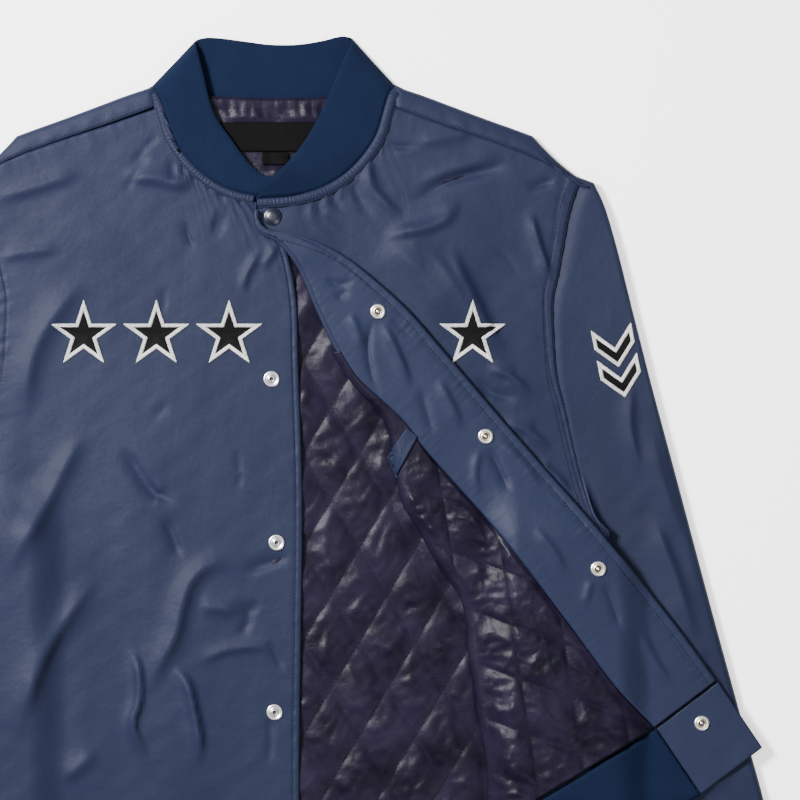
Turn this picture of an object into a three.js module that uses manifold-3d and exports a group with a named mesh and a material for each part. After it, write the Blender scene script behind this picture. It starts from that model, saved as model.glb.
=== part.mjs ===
import * as THREE from 'three';
import { mergeVertices } from 'three/addons/utils/BufferGeometryUtils.js';
import Module from 'manifold-3d';

// A varsity jacket laid flat on its back, its left front turned back to show the quilted lining.
// Millimetres. X runs across the body, Y up to the collar and Z up from the table. The wearer's right
// side has negative X. Every panel is a thin wall over a grid of points.

const wasm = await Module();
wasm.setup();

// Driving dimensions
const gap = 0.5;                      // between pieces that are sewn together
const body = { hemHalf: 252, underarmHalf: 268, hemY: -257, underarmY: -28 };
const wall = { back: 1.5, lining: 1.2, front: 2.5, turned: 1.5, sleeve: 3, collar: 3.5, rib: 3 };
const level = {
  lining: 1.9, sideSeam: 2.5, front: 7, leftFront: 8.4, turned: 11, facing: 13.1, sleeve: 10,
};
const shoulderRadius = 4.9;           // half of the flat body's thickness at the shoulder fold
const sideRadius = 5;                 // how far in the front starts to round down to the side seam
const neckPoint = [92.8, 315.2];      // where the shoulder seam meets the collar
const shoulderTip = [243, 253];       // where the shoulder seam meets the sleeve
const foldTip = [254, 254];           // the shoulder fold's outer end
const sleeveLift = 10.3;              // how far the body's side rides up over the sleeve under it
const sleeveSettle = 0.6;             // share of that which is lost from the middle down to the hem
const ribHeight = 63;
const placketWidth = 62;
const quilt = { width: 22.5, height: 37.5, puff: 2.5 };
const starRadius = { out: 24, in: 9.2 };
const applique = { thick: 1.2, clearance: 0.6 };
const stud = { radius: 6.5, post: 2.2, rim: 1.4, height: 2.8 };
const socket = { radius: 6.2, hole: 2.2, height: 2.2 };
const capRadius = 7;

const navy = { color: 0x3e4864, roughness: 0.45, metalness: 0 };
const facingBlue = { color: 0x44526f, roughness: 0.5, metalness: 0 };
const ribNavy = { color: 0x1e2c4e, roughness: 0.9, metalness: 0 };
const liningPlum = { color: 0x2c2836, roughness: 0.4, metalness: 0 };
const black = { color: 0x2b2b2d, roughness: 0.85, metalness: 0 };
const silver = { color: 0xc0c2c6, roughness: 0.3, metalness: 1 };
const capNavy = { color: 0x232d48, roughness: 0.4, metalness: 0.2 };

// Small helpers
const clamp = (value, low, high) => Math.min(high, Math.max(low, value));
const lerp = (a, b, t) => a + (b - a) * t;
const mix = (a, b, t) => a.map((value, i) => lerp(value, b[i], t));
const steps = (count) => Array.from({ length: count + 1 }, (_, i) => i / count);

function ease(from, to, value) {
  const t = clamp((value - from) / (to - from), 0, 1);
  return t * t * (3 - 2 * t);
}

// A smooth route through rows of x and y, by its share of the length
function route(rows) {
  const points = rows.map(([x, y, z = 0]) => new THREE.Vector3(x, y, z));
  const curve = new THREE.CatmullRomCurve3(points, false, 'centripetal');
  curve.arcLengthDivisions = 400;
  return (t) => curve.getPointAt(clamp(t, 0, 1)).toArray().slice(0, 2);
}

// Two routes joined at a share of the whole
function joined(first, second, share) {
  return (t) => (t <= share ? first(t / share) : second((t - share) / (1 - share)));
}

// A patch between four edges; bottom and top run left to right, left and right run upwards
function patch(bottom, top, left, right) {
  const corner = [bottom(0), bottom(1), top(0), top(1)];
  return (u, v) => [0, 1].map((i) => {
    const across = lerp(bottom(u)[i], top(u)[i], v);
    const along = lerp(left(v)[i], right(v)[i], u);
    const low = lerp(corner[0][i], corner[1][i], u);
    const high = lerp(corner[2][i], corner[3][i], u);
    return across + along - lerp(low, high, v);
  });
}

function gridNormals(grid, ring) {
  const last = grid.length - 1;
  return grid.map((row, j) => row.map((_, i) => {
    const count = row.length;
    const before = ring ? (i + count - 1) % count : Math.max(i - 1, 0);
    const after = ring ? (i + 1) % count : Math.min(i + 1, count - 1);
    const across = row[after].clone().sub(row[before]);
    const along = grid[Math.min(j + 1, last)][i].clone().sub(grid[Math.max(j - 1, 0)][i]);
    return across.cross(along).normalize();
  }));
}

// A closed wall: the grid is one face, and the other lies off it by the distance thick(i, j).
// The far face is split along its lower diagonals, so that quilting creases follow the stitches.
function wallGeometry(grid, thick, ring = false) {
  const rows = grid.length;
  const columns = grid[0].length;
  const normals = gridNormals(grid, ring);
  const distance = (i, j) => (typeof thick === 'number' ? thick : thick(i, j));
  const positions = [];
  for (let j = 0; j < rows; j++) {
    for (let i = 0; i < columns; i++) positions.push(...grid[j][i].toArray());
  }
  for (let j = 0; j < rows; j++) {
    for (let i = 0; i < columns; i++) {
      positions.push(...grid[j][i].clone().addScaledVector(normals[j][i], distance(i, j)).toArray());
    }
  }
  const near = (i, j) => j * columns + (i % columns);
  const far = (i, j) => rows * columns + near(i, j);
  const faces = [];
  const quad = (a, b, c, d, turned = false) => {
    if (turned) faces.push([a, b, d], [b, c, d]);
    else faces.push([a, b, c], [a, c, d]);
  };
  const spans = ring ? columns : columns - 1;
  for (let j = 0; j < rows - 1; j++) {
    for (let i = 0; i < spans; i++) {
      const next = (i + 1) % columns;
      const rising = Math.abs(distance(i, j) + distance(next, j + 1));
      const falling = Math.abs(distance(next, j) + distance(i, j + 1));
      const turned = falling < rising - 1e-6;
      quad(far(i, j), far(i + 1, j), far(i + 1, j + 1), far(i, j + 1), turned);
      quad(near(i, j), near(i, j + 1), near(i + 1, j + 1), near(i + 1, j));
    }
  }
  for (let i = 0; i < spans; i++) {
    quad(near(i, 0), near(i + 1, 0), far(i + 1, 0), far(i, 0));
    quad(near(i + 1, rows - 1), near(i, rows - 1), far(i, rows - 1), far(i + 1, rows - 1));
  }
  if (!ring) {
    for (let j = 0; j < rows - 1; j++) {
      quad(near(0, j + 1), near(0, j), far(0, j), far(0, j + 1));
      quad(near(spans, j), near(spans, j + 1), far(spans, j + 1), far(spans, j));
    }
  }
  return outward(positions, faces);
}

// A geometry whose faces point out, whichever way the grid was wound
function outward(positions, faces) {
  const at = (k) => new THREE.Vector3().fromArray(positions, 3 * k);
  let volume = 0;
  for (const [a, b, c] of faces) volume += at(a).dot(at(b).cross(at(c)));
  const wound = volume < 0 ? faces.map(([a, b, c]) => [a, c, b]) : faces;
  const geometry = new THREE.BufferGeometry();
  geometry.setAttribute('position', new THREE.Float32BufferAttribute(positions, 3));
  geometry.setIndex(wound.flat());
  geometry.computeVertexNormals();
  return geometry;
}

function toManifold(source) {
  let geometry = source.clone();
  for (const name of ['normal', 'uv']) geometry.deleteAttribute(name);
  geometry = mergeVertices(geometry, 1e-4);
  return new wasm.Manifold(new wasm.Mesh({
    numProp: 3,
    vertProperties: new Float32Array(geometry.attributes.position.array),
    triVerts: new Uint32Array(geometry.index.array),
  }));
}

function fromManifold(solid) {
  const mesh = solid.getMesh();
  const geometry = new THREE.BufferGeometry();
  geometry.setAttribute('position', new THREE.BufferAttribute(mesh.vertProperties, 3));
  geometry.setIndex(new THREE.BufferAttribute(mesh.triVerts, 1));
  geometry.computeVertexNormals();
  return geometry;
}

const group = new THREE.Group();

function addPiece(name, geometry, finish) {
  const mesh = new THREE.Mesh(geometry, new THREE.MeshStandardMaterial(finish));
  mesh.name = name;
  group.add(mesh);
}

const mirrored = (curve, side) => (t) => {
  const [x, y] = curve(t);
  return [side * x, y];
};

// Seams of the body, as rows of x and y on the side of positive X
const sideSeam = route([
  [body.hemHalf, body.hemY], [256, -190], [261, -110], [body.underarmHalf, body.underarmY],
]);
const frontArmhole = route([
  [body.underarmHalf, body.underarmY], [257.6, -17.6], [246.4, 13.6], [238.4, 44.8], [232, 72.8],
  [225.6, 99.2], [223, 129.6], [222.4, 160], [226.5, 180], [230, 200], [235.5, 230], shoulderTip,
]);
const backArmhole = route([
  [body.underarmHalf, body.underarmY], [257.6, -17.6], [246.4, 13.6], [238.4, 44.8], [232, 72.8],
  [225.6, 99.2], [223, 129.6], [223.4, 160], [230, 191], [241, 228], foldTip,
]);
const neckline = route([
  [0, 236.5], [33, 244.5], [55, 256.8], [73, 272.8], [86.5, 293], neckPoint,
]);
const shoulderSeam = route([neckPoint, [131.2, 301.2], [179.2, 284.8], [216.5, 269.8], shoulderTip]);
const shoulderFold = route([[93, 332], [156, 308.2], [218.4, 284.4], [236, 273], foldTip]);

const sideShare = 0.45;               // share of a panel's height that lies below the underarm
const neckShare = 0.5;                // share of a panel's width that lies inside the neck point
const bodyRows = [...steps(10).map((t) => t * sideShare),
  ...steps(10).slice(1).map((t) => lerp(sideShare, 1, t))];
const leftRows = [...bodyRows.slice(0, -1), 0.962, 0.98, 1];

// How far the body's side rides up over the sleeve that lies under it
function lift(x, y) {
  const across = ease(165, 195, Math.abs(x));
  const along = ease(20, -30, y) * (1 - sleeveSettle * ease(-246, -325, y));
  return sleeveLift * across * along;
}

// Large soft folds of the shell: a ridge from one point to another
const folds = [
  { x1: -60, y1: -250, x2: -120, y2: 60, width: 26, height: 1.6 },
  { x1: -150, y1: -250, x2: -175, y2: -20, width: 24, height: 2.0 },
  { x1: -110, y1: 190, x2: -190, y2: 235, width: 18, height: 1.6 },
  { x1: 110, y1: 235, x2: 185, y2: 190, width: 20, height: 2.0 },
  { x1: -205, y1: 60, x2: -225, y2: -60, width: 16, height: 1.6 },
];

function foldRise(x, y) {
  let rise = 0;
  for (const fold of folds) {
    const dx = fold.x2 - fold.x1;
    const dy = fold.y2 - fold.y1;
    const length = Math.hypot(dx, dy);
    const along = ((x - fold.x1) * dx + (y - fold.y1) * dy) / length;
    const off = ((x - fold.x1) * dy - (y - fold.y1) * dx) / length;
    const ends = ease(-10, 40, along) * ease(length + 10, length - 40, along);
    rise += fold.height * ends * Math.exp(-((off / fold.width) ** 2));
  }
  return rise;
}

// Columns of a front panel: flat up to the side, then round the edge
const flatColumns = steps(12);
const turnColumns = [30, 60, 90].map((degrees) => THREE.MathUtils.degToRad(degrees));

function frontRow(surface, left, right, v, height, flatTop) {
  const width = Math.hypot(right(v)[0] - left(v)[0], right(v)[1] - left(v)[1]);
  const reach = sideRadius / width;
  const rounds = 1 - ease(sideShare - 0.01, sideShare + 0.05, v);
  const drop = (flatTop - level.sideSeam) * rounds;
  const angles = [...flatColumns.map(() => 0), ...turnColumns];
  return angles.map((angle, i) => {
    const flat = i < flatColumns.length;
    const u = flat ? (1 - reach) * flatColumns[i] : 1 - reach * (1 - Math.sin(angle));
    const [x, y] = surface(u, v);
    return new THREE.Vector3(x, y, height(x, y) - drop * (1 - Math.cos(angle)));
  });
}

// The wearer's right front lies flat, its placket edge just past the middle
const rightEdge = route([
  [20, body.hemY], [19.8, -210.4], [21.4, -97.6], [22.3, 0], [19, 110.4], [17.4, 159.2],
  [11.7, 192], [4, 214], [-4, 230], [-12, 236.8],
]);

function rightFrontHeight(x, y) {
  return level.front + wall.front + lift(x, y) + foldRise(x, y);
}

function rightFront() {
  const neck = (t) => {
    const [x, y] = neckline(lerp(0.13, 1, t));
    return [-x, y - gap];
  };
  const top = joined(neck, mirrored(shoulderSeam, -1), neckShare);
  const right = joined(mirrored(sideSeam, -1), mirrored(frontArmhole, -1), sideShare);
  const bottom = (t) => [lerp(20, -body.hemHalf, t), body.hemY];
  const surface = patch(bottom, top, rightEdge, right);
  const flatTop = level.front + wall.front;
  const grid = bodyRows.map((v) => frontRow(surface, rightEdge, right, v, rightFrontHeight, flatTop));
  return wallGeometry(grid, wall.front);
}

// The wearer's left front is turned back along a slanting fold
const foldLine = route([
  [175, body.hemY], [173.6, -210.4], [168, -176], [160, -124.8], [154, -80], [136, -52.8],
  [120, -24], [106, 0], [101, 30], [92, 64], [65.6, 95.2], [49.6, 120.8], [35.2, 150.4],
  [21.4, 182.4], [12, 197], [0, 208], [-10, 213.5], [-15, 222], [-15.5, 231],
]);
const turnedEdge = route([
  [351, -143], [319.2, -99.2], [257.2, -23], [204, 38], [175.4, 70.9], [134, 119.4],
  [104, 153.6], [74.2, 180.2], [58, 192.5], [39.7, 203], [25.9, 208], [10.4, 212.5],
  [0, 213.8], [-8, 216.6], [-12.8, 223], [-13.5, 231.5],
]);
const facingEdge = route([
  [302.2, -180], [274.4, -151.2], [232.8, -96], [180.8, -28], [118.4, 42.8], [104, 62.4],
  [81.1, 84], [65.4, 99], [51.5, 121.4], [37.2, 151], [23.4, 183.2], [14, 198.2], [2, 209.4],
  [-9.4, 214.3], [-14.3, 222.4], [-15, 231.2],
]);

const overlap = { rise: 1.9, besideSleeve: 0.6 };

// The left front's top corner lies on the right front
function overRight(x, y) {
  return overlap.rise * ease(178, 198, y) * ease(60, 20, x);
}

function leftFrontHeight(x, y) {
  return level.leftFront + wall.turned + lift(x, y) + foldRise(x, y) + overRight(x, y);
}

// What the turned layer lies on: the body's side, then the sleeve beside it
function turnedRise(x, y) {
  const beside = ease(272, 300, x);
  const underArm = lift(Math.min(x, 262), y);
  return lerp(underArm + foldRise(x, y), overlap.besideSleeve, beside) + overRight(x, y);
}

const liningColumns = steps(5);
const facingColumns = steps(3);

// The turned layer's places in plan at one row: from the fold to the facing's edge, then to the front edge
function turnedPlan(v) {
  const fold = foldLine(v);
  const inner = facingEdge(v);
  const edge = turnedEdge(v);
  const lined = liningColumns.map((t) => mix(fold, inner, t));
  const faced = facingColumns.map((t) => mix(inner, edge, t));
  return { lined, faced };
}

function atHeight([x, y], height) {
  return new THREE.Vector3(x, y, height + turnedRise(x, y));
}

const turnedCornerX = -14;            // the turned front's top corner, below the collar
const cornerDrop = 5;

function leftFront() {
  const neck = (t) => {
    const [x, y] = neckline(t);
    const below = gap + cornerDrop * (1 - ease(0, 0.25, t));
    return [lerp(turnedCornerX, x, ease(0, 0.2, t)), y - below];
  };
  const top = joined(neck, shoulderSeam, neckShare);
  const right = joined(sideSeam, frontArmhole, sideShare);
  const bottom = (t) => [lerp(175, body.hemHalf, t), body.hemY];
  const surface = patch(bottom, top, foldLine, right);
  const half = (level.turned - level.leftFront - wall.turned) / 2;
  const grid = leftRows.map((v) => {
    const lower = frontRow(surface, foldLine, right, v, leftFrontHeight, level.leftFront + wall.turned);
    const [x, y] = foldLine(v);
    const base = lower[0].z;
    const bend = [45, 90, 135].map((degrees) => {
      const angle = THREE.MathUtils.degToRad(degrees);
      return new THREE.Vector3(x - half * Math.sin(angle), y, base + half * (1 - Math.cos(angle)));
    });
    const { lined, faced } = turnedPlan(v);
    const upper = [...lined, ...faced.slice(1)].map((place) => atHeight(place, level.turned));
    return [...lower.reverse(), ...bend, ...upper];
  });
  return wallGeometry(grid, wall.turned);
}

function leftFacing() {
  const grid = leftRows.map((v) => turnedPlan(v).faced.map((place) => atHeight(place, level.facing)));
  return wallGeometry(grid, wall.turned);
}

const liningEnd = 15;                 // rows of the turned front that still show lining
const liningTuck = { clearance: 0.6, out: 1.3 };

// The quilted lining of the turned front, which runs round the fold and a little way under it
function leftLining() {
  const under = [10, 5, 1.5];
  const lower = level.leftFront - liningTuck.clearance - wall.lining;
  const half = (level.facing - lower - wall.lining) / 2;
  const rows = leftRows.slice(0, liningEnd);
  const turn = [40, 90, 140].map((degrees) => THREE.MathUtils.degToRad(degrees));
  const grid = rows.map((v) => {
    const [x, y] = foldLine(v);
    const beneath = under.map((inset) => {
      const rise = lift(x + inset, y) + foldRise(x + inset, y);
      return new THREE.Vector3(x + inset, y, lower + wall.lining + rise);
    });
    const bend = turn.map((angle) => {
      const out = x - liningTuck.out - half * Math.sin(angle);
      const rise = lift(x, y) + foldRise(x, y);
      return new THREE.Vector3(out, y, lower + wall.lining + rise + half * (1 - Math.cos(angle)));
    });
    const above = turnedPlan(v).lined.map(([px, py], i) => {
      const inset = i === liningColumns.length - 1 ? -2 * gap : 0;
      return new THREE.Vector3(px + inset, py, level.facing + turnedRise(px, py));
    });
    return [...beneath, ...bend, ...above];
  });
  const first = under.length + turn.length;
  const puff = (i, j) => {
    const column = i - first;
    const inside = column > 0 && column < liningColumns.length - 1 && j > 0 && j < rows.length - 1;
    const [x, y] = foldLine(rows[j]);
    const [fx, fy] = facingEdge(rows[j]);
    const room = ease(12, 60, Math.hypot(fx - x, fy - y));
    return wall.lining + (inside && (column + j) % 2 === 0 ? quilt.puff * room : 0);
  };
  return wallGeometry(grid, puff);
}

// The back runs over the shoulder fold and forward to the shoulder seam,
// and its grid is the quilting's lattice, so that the lining lies on its points
const lattice = {
  columns: [...Array(19).keys()].map((i) => i - 9),
  rows: [-6.85, -6, -5, -4, -3, -2, -1, 0, 1, 2, 3, 4, 5, 6, 7, 8, 8.4],
  straightRow: 6,
};

// The x of the body's edge at a height, by rows of the seam's own points
function edgeAt(y) {
  const points = [...steps(60).map(sideSeam), ...steps(60).map(backArmhole)];
  const k = points.findIndex((point, i) => i > 0 && point[1] >= y);
  const [before, after] = [points[k - 1], points[k]];
  return lerp(before[0], after[0], (y - before[1]) / (after[1] - before[1]));
}

function foldAt(x) {
  const points = steps(80).map(shoulderFold);
  if (x <= points[0][0]) return points[0][1];
  const k = points.findIndex((point) => point[0] >= x);
  const [before, after] = [points[k - 1], points[k]];
  return lerp(before[1], after[1], (x - before[0]) / (after[0] - before[0]));
}

const underarmRow = -1;

// A point of the back, by its lattice row and column; column 10 is the edge itself
function backPlace(column, row) {
  const sign = Math.sign(column);
  const y = row * quilt.height;
  const straight = lattice.straightRow * quilt.height;
  const last = lattice.rows[lattice.rows.length - 1];
  const share = (row - lattice.straightRow) / (last - lattice.straightRow);
  if (Math.abs(column) < 10) {
    const x = column * quilt.width;
    const limit = foldAt(Math.abs(x)) - shoulderRadius;
    return [x, row > lattice.straightRow ? lerp(straight, limit, share) : Math.max(y, body.hemY)];
  }
  if (row === underarmRow) return [sign * body.underarmHalf, body.underarmY];
  if (row <= lattice.straightRow) {
    const place = Math.max(y, body.hemY);
    return [sign * edgeAt(place), place];
  }
  const place = lerp(straight, foldTip[1] - shoulderRadius, share);
  return [sign * edgeAt(place), place];
}

const backColumns = [-10, ...lattice.columns, 10];
const seamEnd = shoulderTip[0] - 1;
const seamAllowance = 2.5;            // between the back's forward edge and the shoulder seam

function backShell() {
  const rows = lattice.rows.map((row) => backColumns.map((column) => {
    const [x, y] = backPlace(column, row);
    return new THREE.Vector3(x, y, lift(x, y));
  }));
  const top = rows[rows.length - 1];
  const turn = [30, 60, 90, 120, 150, 180].map((degrees) => THREE.MathUtils.degToRad(degrees));
  for (const angle of turn) {
    rows.push(top.map((point) => {
      const ahead = shoulderRadius * Math.sin(angle);
      const slant = Math.sign(point.x) * 0.4 * ease(80, 120, Math.abs(point.x));
      return new THREE.Vector3(point.x + slant * ahead, point.y + ahead,
        shoulderRadius * (1 - Math.cos(angle)));
    }));
  }
  const seam = steps(80).map(shoulderSeam);
  rows.push(top.map((point) => {
    const x = Math.abs(point.x);
    const k = clamp(seam.findIndex((place) => place[0] >= Math.min(x, seamEnd)), 1, 80);
    const y = x < neckPoint[0] ? neckPoint[1] : seam[k][1];
    const endX = x > seamEnd ? Math.sign(point.x) * (seamEnd + 2) : point.x;
    return new THREE.Vector3(endX, y + seamAllowance, 2 * shoulderRadius);
  }));
  return cutNeck(wallGeometry(rows, wall.back));
}

// The neck is cut lower in front than behind
function cutNeck(geometry) {
  const outline = (points) => new THREE.Shape(points.map(([x, y]) => new THREE.Vector2(x, y)));
  const high = 400;
  const foldCut = 100.5;
  const frontLine = steps(12).map((t) => neckline(t));
  const front = outline([
    ...frontLine, [98.5, 321], [foldCut, high], [-foldCut, high], [-98.5, 321],
    ...frontLine.slice(1).reverse().map(([x, y]) => [-x, y]),
  ]);
  const across = [-foldCut, -78, -50, -20, 20, 50, 78, foldCut];
  const backLine = across.map((x) => [x, 317.5 + 9 * (x / 93) ** 2]);
  const back = outline([...backLine, [foldCut, high], [-foldCut, high]]);
  const middle = 5;
  const frontBlock = new THREE.ExtrudeGeometry(front, { depth: 20, bevelEnabled: false });
  frontBlock.translate(0, 0, middle);
  const backBlock = new THREE.ExtrudeGeometry(back, { depth: 20, bevelEnabled: false });
  backBlock.translate(0, 0, middle - 19);
  const whole = toManifold(geometry);
  return fromManifold(whole.subtract(toManifold(frontBlock)).subtract(toManifold(backBlock)));
}

// Back lining, quilted in diamonds on the lattice, flat in a strip below the neck
function backLining() {
  const rows = lattice.rows;
  const inset = 10;
  const grid = rows.map((row) => backColumns.map((column) => {
    const [x, y] = backPlace(column, row);
    const drop = y > 226 ? (y - 226) * 0.16 : 0;
    const edge = Math.abs(column) === 10 ? Math.sign(column) * inset : 0;
    return new THREE.Vector3(x - edge, y - drop, level.lining + lift(x - edge, y));
  }));
  const puff = (i, j) => {
    const shown = backColumns[i] > -6 && backColumns[i] < 8;
    const inside = shown && j > 0 && j < rows.length - 3;
    const peak = inside && (backColumns[i] + rows[j]) % 2 !== 0;
    return wall.lining + (peak ? quilt.puff : 0);
  };
  return wallGeometry(grid, puff);
}

// A sleeve is a closed tube, from the armhole to the cuff seam. A row gives the ends of a ring: the
// outer edge, the inner edge, how much of the armhole's bow it keeps, and how much of its rise.
const sleeveRings = [
  { outerX: 254.6, outerY: 253.6, innerX: 268.8, innerY: -28.5, bow: 1, rise: 1 },
  { outerX: 262.5, outerY: 237, innerX: 270.5, innerY: -31, bow: 0.84, rise: 0.75 },
  { outerX: 272, outerY: 206, innerX: 271.5, innerY: -34, bow: 0.6, rise: 0.5 },
  { outerX: 286.9, outerY: 147, innerX: 272.5, innerY: -37, bow: 0.34, rise: 0.3 },
  { outerX: 302, outerY: 88, innerX: 273, innerY: -41, bow: 0.14, rise: 0.1 },
  { outerX: 319.2, outerY: 24, innerX: 272.5, innerY: -47, bow: 0, rise: 0 },
  { outerX: 332, outerY: -24, innerX: 270, innerY: -58, bow: 0, rise: 0 },
  { outerX: 341, outerY: -58, innerX: 255, innerY: -85, bow: 0, rise: 0 },
  { outerX: 346.6, outerY: -79, innerX: 234, innerY: -120, bow: 0, rise: 0 },
  { outerX: 354.2, outerY: -107, innerX: 220, innerY: -158, bow: 0, rise: 0 },
  { outerX: 366, outerY: -150, innerX: 220, innerY: -200, bow: 0, rise: 0 },
  { outerX: 379, outerY: -198, innerX: 238, innerY: -236, bow: 0, rise: 0 },
  { outerX: 390, outerY: -238, innerX: 267, innerY: -270, bow: 0, rise: 0 },
  { outerX: 399, outerY: -282, innerX: 300, innerY: -308.5, bow: 0, rise: 0 },
];
const topSteps = steps(10);
const roundAngles = [45, 90, 135].map((degrees) => THREE.MathUtils.degToRad(degrees));

// A ring's points: along the top from the inner edge to the outer, round it, back below, and round
function flatRing(inner, outer, high, topShape, bottomShape, rise, ridge) {
  const radius = high / 2;
  const length = Math.hypot(outer[0] - inner[0], outer[1] - inner[1]);
  const share = radius / length;
  const place = (t, shape) => {
    const along = lerp(share, 1 - share, t);
    const [dx, dy] = shape(t);
    const [x, y] = mix(inner, outer, along);
    return [x + dx, y + dy];
  };
  const top = topSteps.map((t) => {
    const [x, y] = place(t, topShape);
    return new THREE.Vector3(x, y, high + rise(t) + ridge(t));
  });
  const bottom = topSteps.map((t) => {
    const [x, y] = place(t, bottomShape);
    return new THREE.Vector3(x, y, rise(t));
  });
  const rounded = (end, t, sign) => {
    const [x, y] = mix(inner, outer, end);
    return roundAngles.map((angle) => {
      const out = sign * (radius * Math.sin(angle) - radius) / length;
      const px = x + (outer[0] - inner[0]) * out;
      const py = y + (outer[1] - inner[1]) * out;
      const turn = sign > 0 ? Math.cos(angle) : -Math.cos(angle);
      return new THREE.Vector3(px, py, radius + radius * turn + rise(t));
    });
  };
  return [...top, ...rounded(1, 1, 1), ...bottom.reverse(), ...rounded(0, 0, -1)];
}

function armholeBow(curve, inner, outer, amount) {
  return (t) => {
    const [x, y] = curve(t);
    const [lx, ly] = mix(curve(0), curve(1), t);
    return [amount * (x - lx), amount * (y - ly)];
  };
}

const pleat = { ring: 1, height: 4.5 };

function sleeve(side) {
  const grid = sleeveRings.map((ring, k) => {
    const inner = [ring.innerX, ring.innerY];
    const outer = [ring.outerX, ring.outerY];
    const top = armholeBow(frontArmhole, inner, outer, ring.bow);
    const bottom = armholeBow(backArmhole, inner, outer, ring.bow);
    const rise = (t) => {
      const [x, y] = frontArmhole(t);
      return ring.rise * lift(x, y);
    };
    const ridge = (t) => (k === pleat.ring ? pleat.height * Math.sin(Math.PI * t) ** 0.5 : 0);
    return flatRing(inner, outer, level.sleeve, top, bottom, rise, ridge);
  });
  grid.forEach((ring) => ring.forEach((point) => { point.x *= side; }));
  return wallGeometry(grid, side * wall.sleeve, true);
}

// The cuff is a rib tube that draws in from the sleeve's end
const cuff = { length: 65, rings: 4, high: 9.6 };

function cuffTube(side) {
  const last = sleeveRings[sleeveRings.length - 1];
  const inner = [last.innerX, last.innerY];
  const outer = [last.outerX, last.outerY];
  const width = Math.hypot(outer[0] - inner[0], outer[1] - inner[1]);
  const across = [(outer[0] - inner[0]) / width, (outer[1] - inner[1]) / width];
  const down = [across[1], -across[0]];
  const none = () => [0, 0];
  const flat = () => 0;
  const grid = steps(cuff.rings).map((t) => {
    const away = lerp(2 * gap, cuff.length, t);
    const pull = 3 + 5 * t;
    const end = (point, sign) => [
      point[0] + down[0] * away + sign * across[0] * pull,
      point[1] + down[1] * away + sign * across[1] * pull,
    ];
    return flatRing(end(inner, 1), end(outer, -1), cuff.high, none, none, flat, flat);
  });
  grid.forEach((ring) => ring.forEach((point) => { point.x *= side; }));
  return wallGeometry(grid, side * wall.sleeve, true);
}

// The collar is one rib band round the neck: in front its outer face shows, behind its inner face.
// A row gives the seam, the free edge and the height of the outer face.
const collarRows = [
  { seamX: 4, seamY: 241, edgeX: 1, edgeY: 258, high: 11.3 },
  { seamX: -16, seamY: 242.5, edgeX: -8, edgeY: 259, high: 11.3 },
  { seamX: -33, seamY: 246.5, edgeX: -18, edgeY: 266.5, high: 11.3 },
  { seamX: -46, seamY: 252.5, edgeX: -26, edgeY: 276, high: 11.3 },
  { seamX: -58, seamY: 260.8, edgeX: -35.5, edgeY: 289.6, high: 11.3 },
  { seamX: -71, seamY: 274, edgeX: -45, edgeY: 303, high: 11.3 },
  { seamX: -82, seamY: 291, edgeX: -51, edgeY: 317, high: 11.3 },
  { seamX: -88.5, seamY: 312, edgeX: -56, edgeY: 338, high: 11.3 },
  { seamX: -92.5, seamY: 322, edgeX: -59.5, edgeY: 352, high: 11 },
  { seamX: -96, seamY: 328.5, edgeX: -62.5, edgeY: 362, high: 9 },
  { seamX: -97.5, seamY: 331, edgeX: -64, edgeY: 366, high: 5 },
  { seamX: -95, seamY: 331.5, edgeX: -61, edgeY: 368.5, high: 1 },
  { seamX: -88, seamY: 331, edgeX: -55, edgeY: 369.5, high: 0 },
  { seamX: -70, seamY: 326, edgeX: -43, edgeY: 369, high: 0 },
  { seamX: -45, seamY: 321.5, edgeX: -24, edgeY: 366.5, high: 0 },
  { seamX: -16, seamY: 319.5, edgeX: -4, edgeY: 364, high: 0 },
  { seamX: 16, seamY: 319.5, edgeX: 18, edgeY: 364, high: 0 },
  { seamX: 45, seamY: 321.5, edgeX: 38, edgeY: 367, high: 0 },
  { seamX: 70, seamY: 326, edgeX: 50, edgeY: 370, high: 0 },
  { seamX: 88, seamY: 331, edgeX: 57.5, edgeY: 370.5, high: 0 },
  { seamX: 93, seamY: 332, edgeX: 61, edgeY: 369.5, high: 1 },
  { seamX: 95.5, seamY: 331.5, edgeX: 62.5, edgeY: 367, high: 5 },
  { seamX: 94, seamY: 328.5, edgeX: 60, edgeY: 362, high: 9 },
  { seamX: 91.5, seamY: 322, edgeX: 54.5, edgeY: 350, high: 11 },
  { seamX: 88.5, seamY: 312, edgeX: 48.5, edgeY: 336, high: 11.3 },
  { seamX: 82, seamY: 291, edgeX: 41, edgeY: 318, high: 11.3 },
  { seamX: 71, seamY: 274, edgeX: 33, edgeY: 301.5, high: 11.3 },
  { seamX: 58, seamY: 260.8, edgeX: 25, edgeY: 288, high: 11.5 },
  { seamX: 46, seamY: 252.5, edgeX: 17, edgeY: 277, high: 11.8 },
  { seamX: 33, seamY: 246.5, edgeX: 10, edgeY: 269, high: 12.6 },
  { seamX: 15, seamY: 242, edgeX: 3, edgeY: 261.5, high: 15.4 },
  { seamX: -13.5, seamY: 239.6, edgeX: -4.8, edgeY: 254, high: 15.4 },
];

function collarBand() {
  const grid = collarRows.map((row) => steps(3).map((t) => {
    const x = lerp(row.seamX, row.edgeX, t);
    const y = lerp(row.seamY, row.edgeY, t);
    return new THREE.Vector3(x, y, row.high);
  }));
  return wallGeometry(grid, -wall.collar);
}

// The hem rib is one strip: along the right front, round the side, along the back, round the other
// side, along the left front, and turned back with it. A row gives a place on its seam, the height of
// its outer face, and the direction and length of the rib from there.
const ribSeamY = body.hemY - 2 * gap;
const ribTurn = { x: 175, low: 9, high: 10.3, over: 11.9 };

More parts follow.
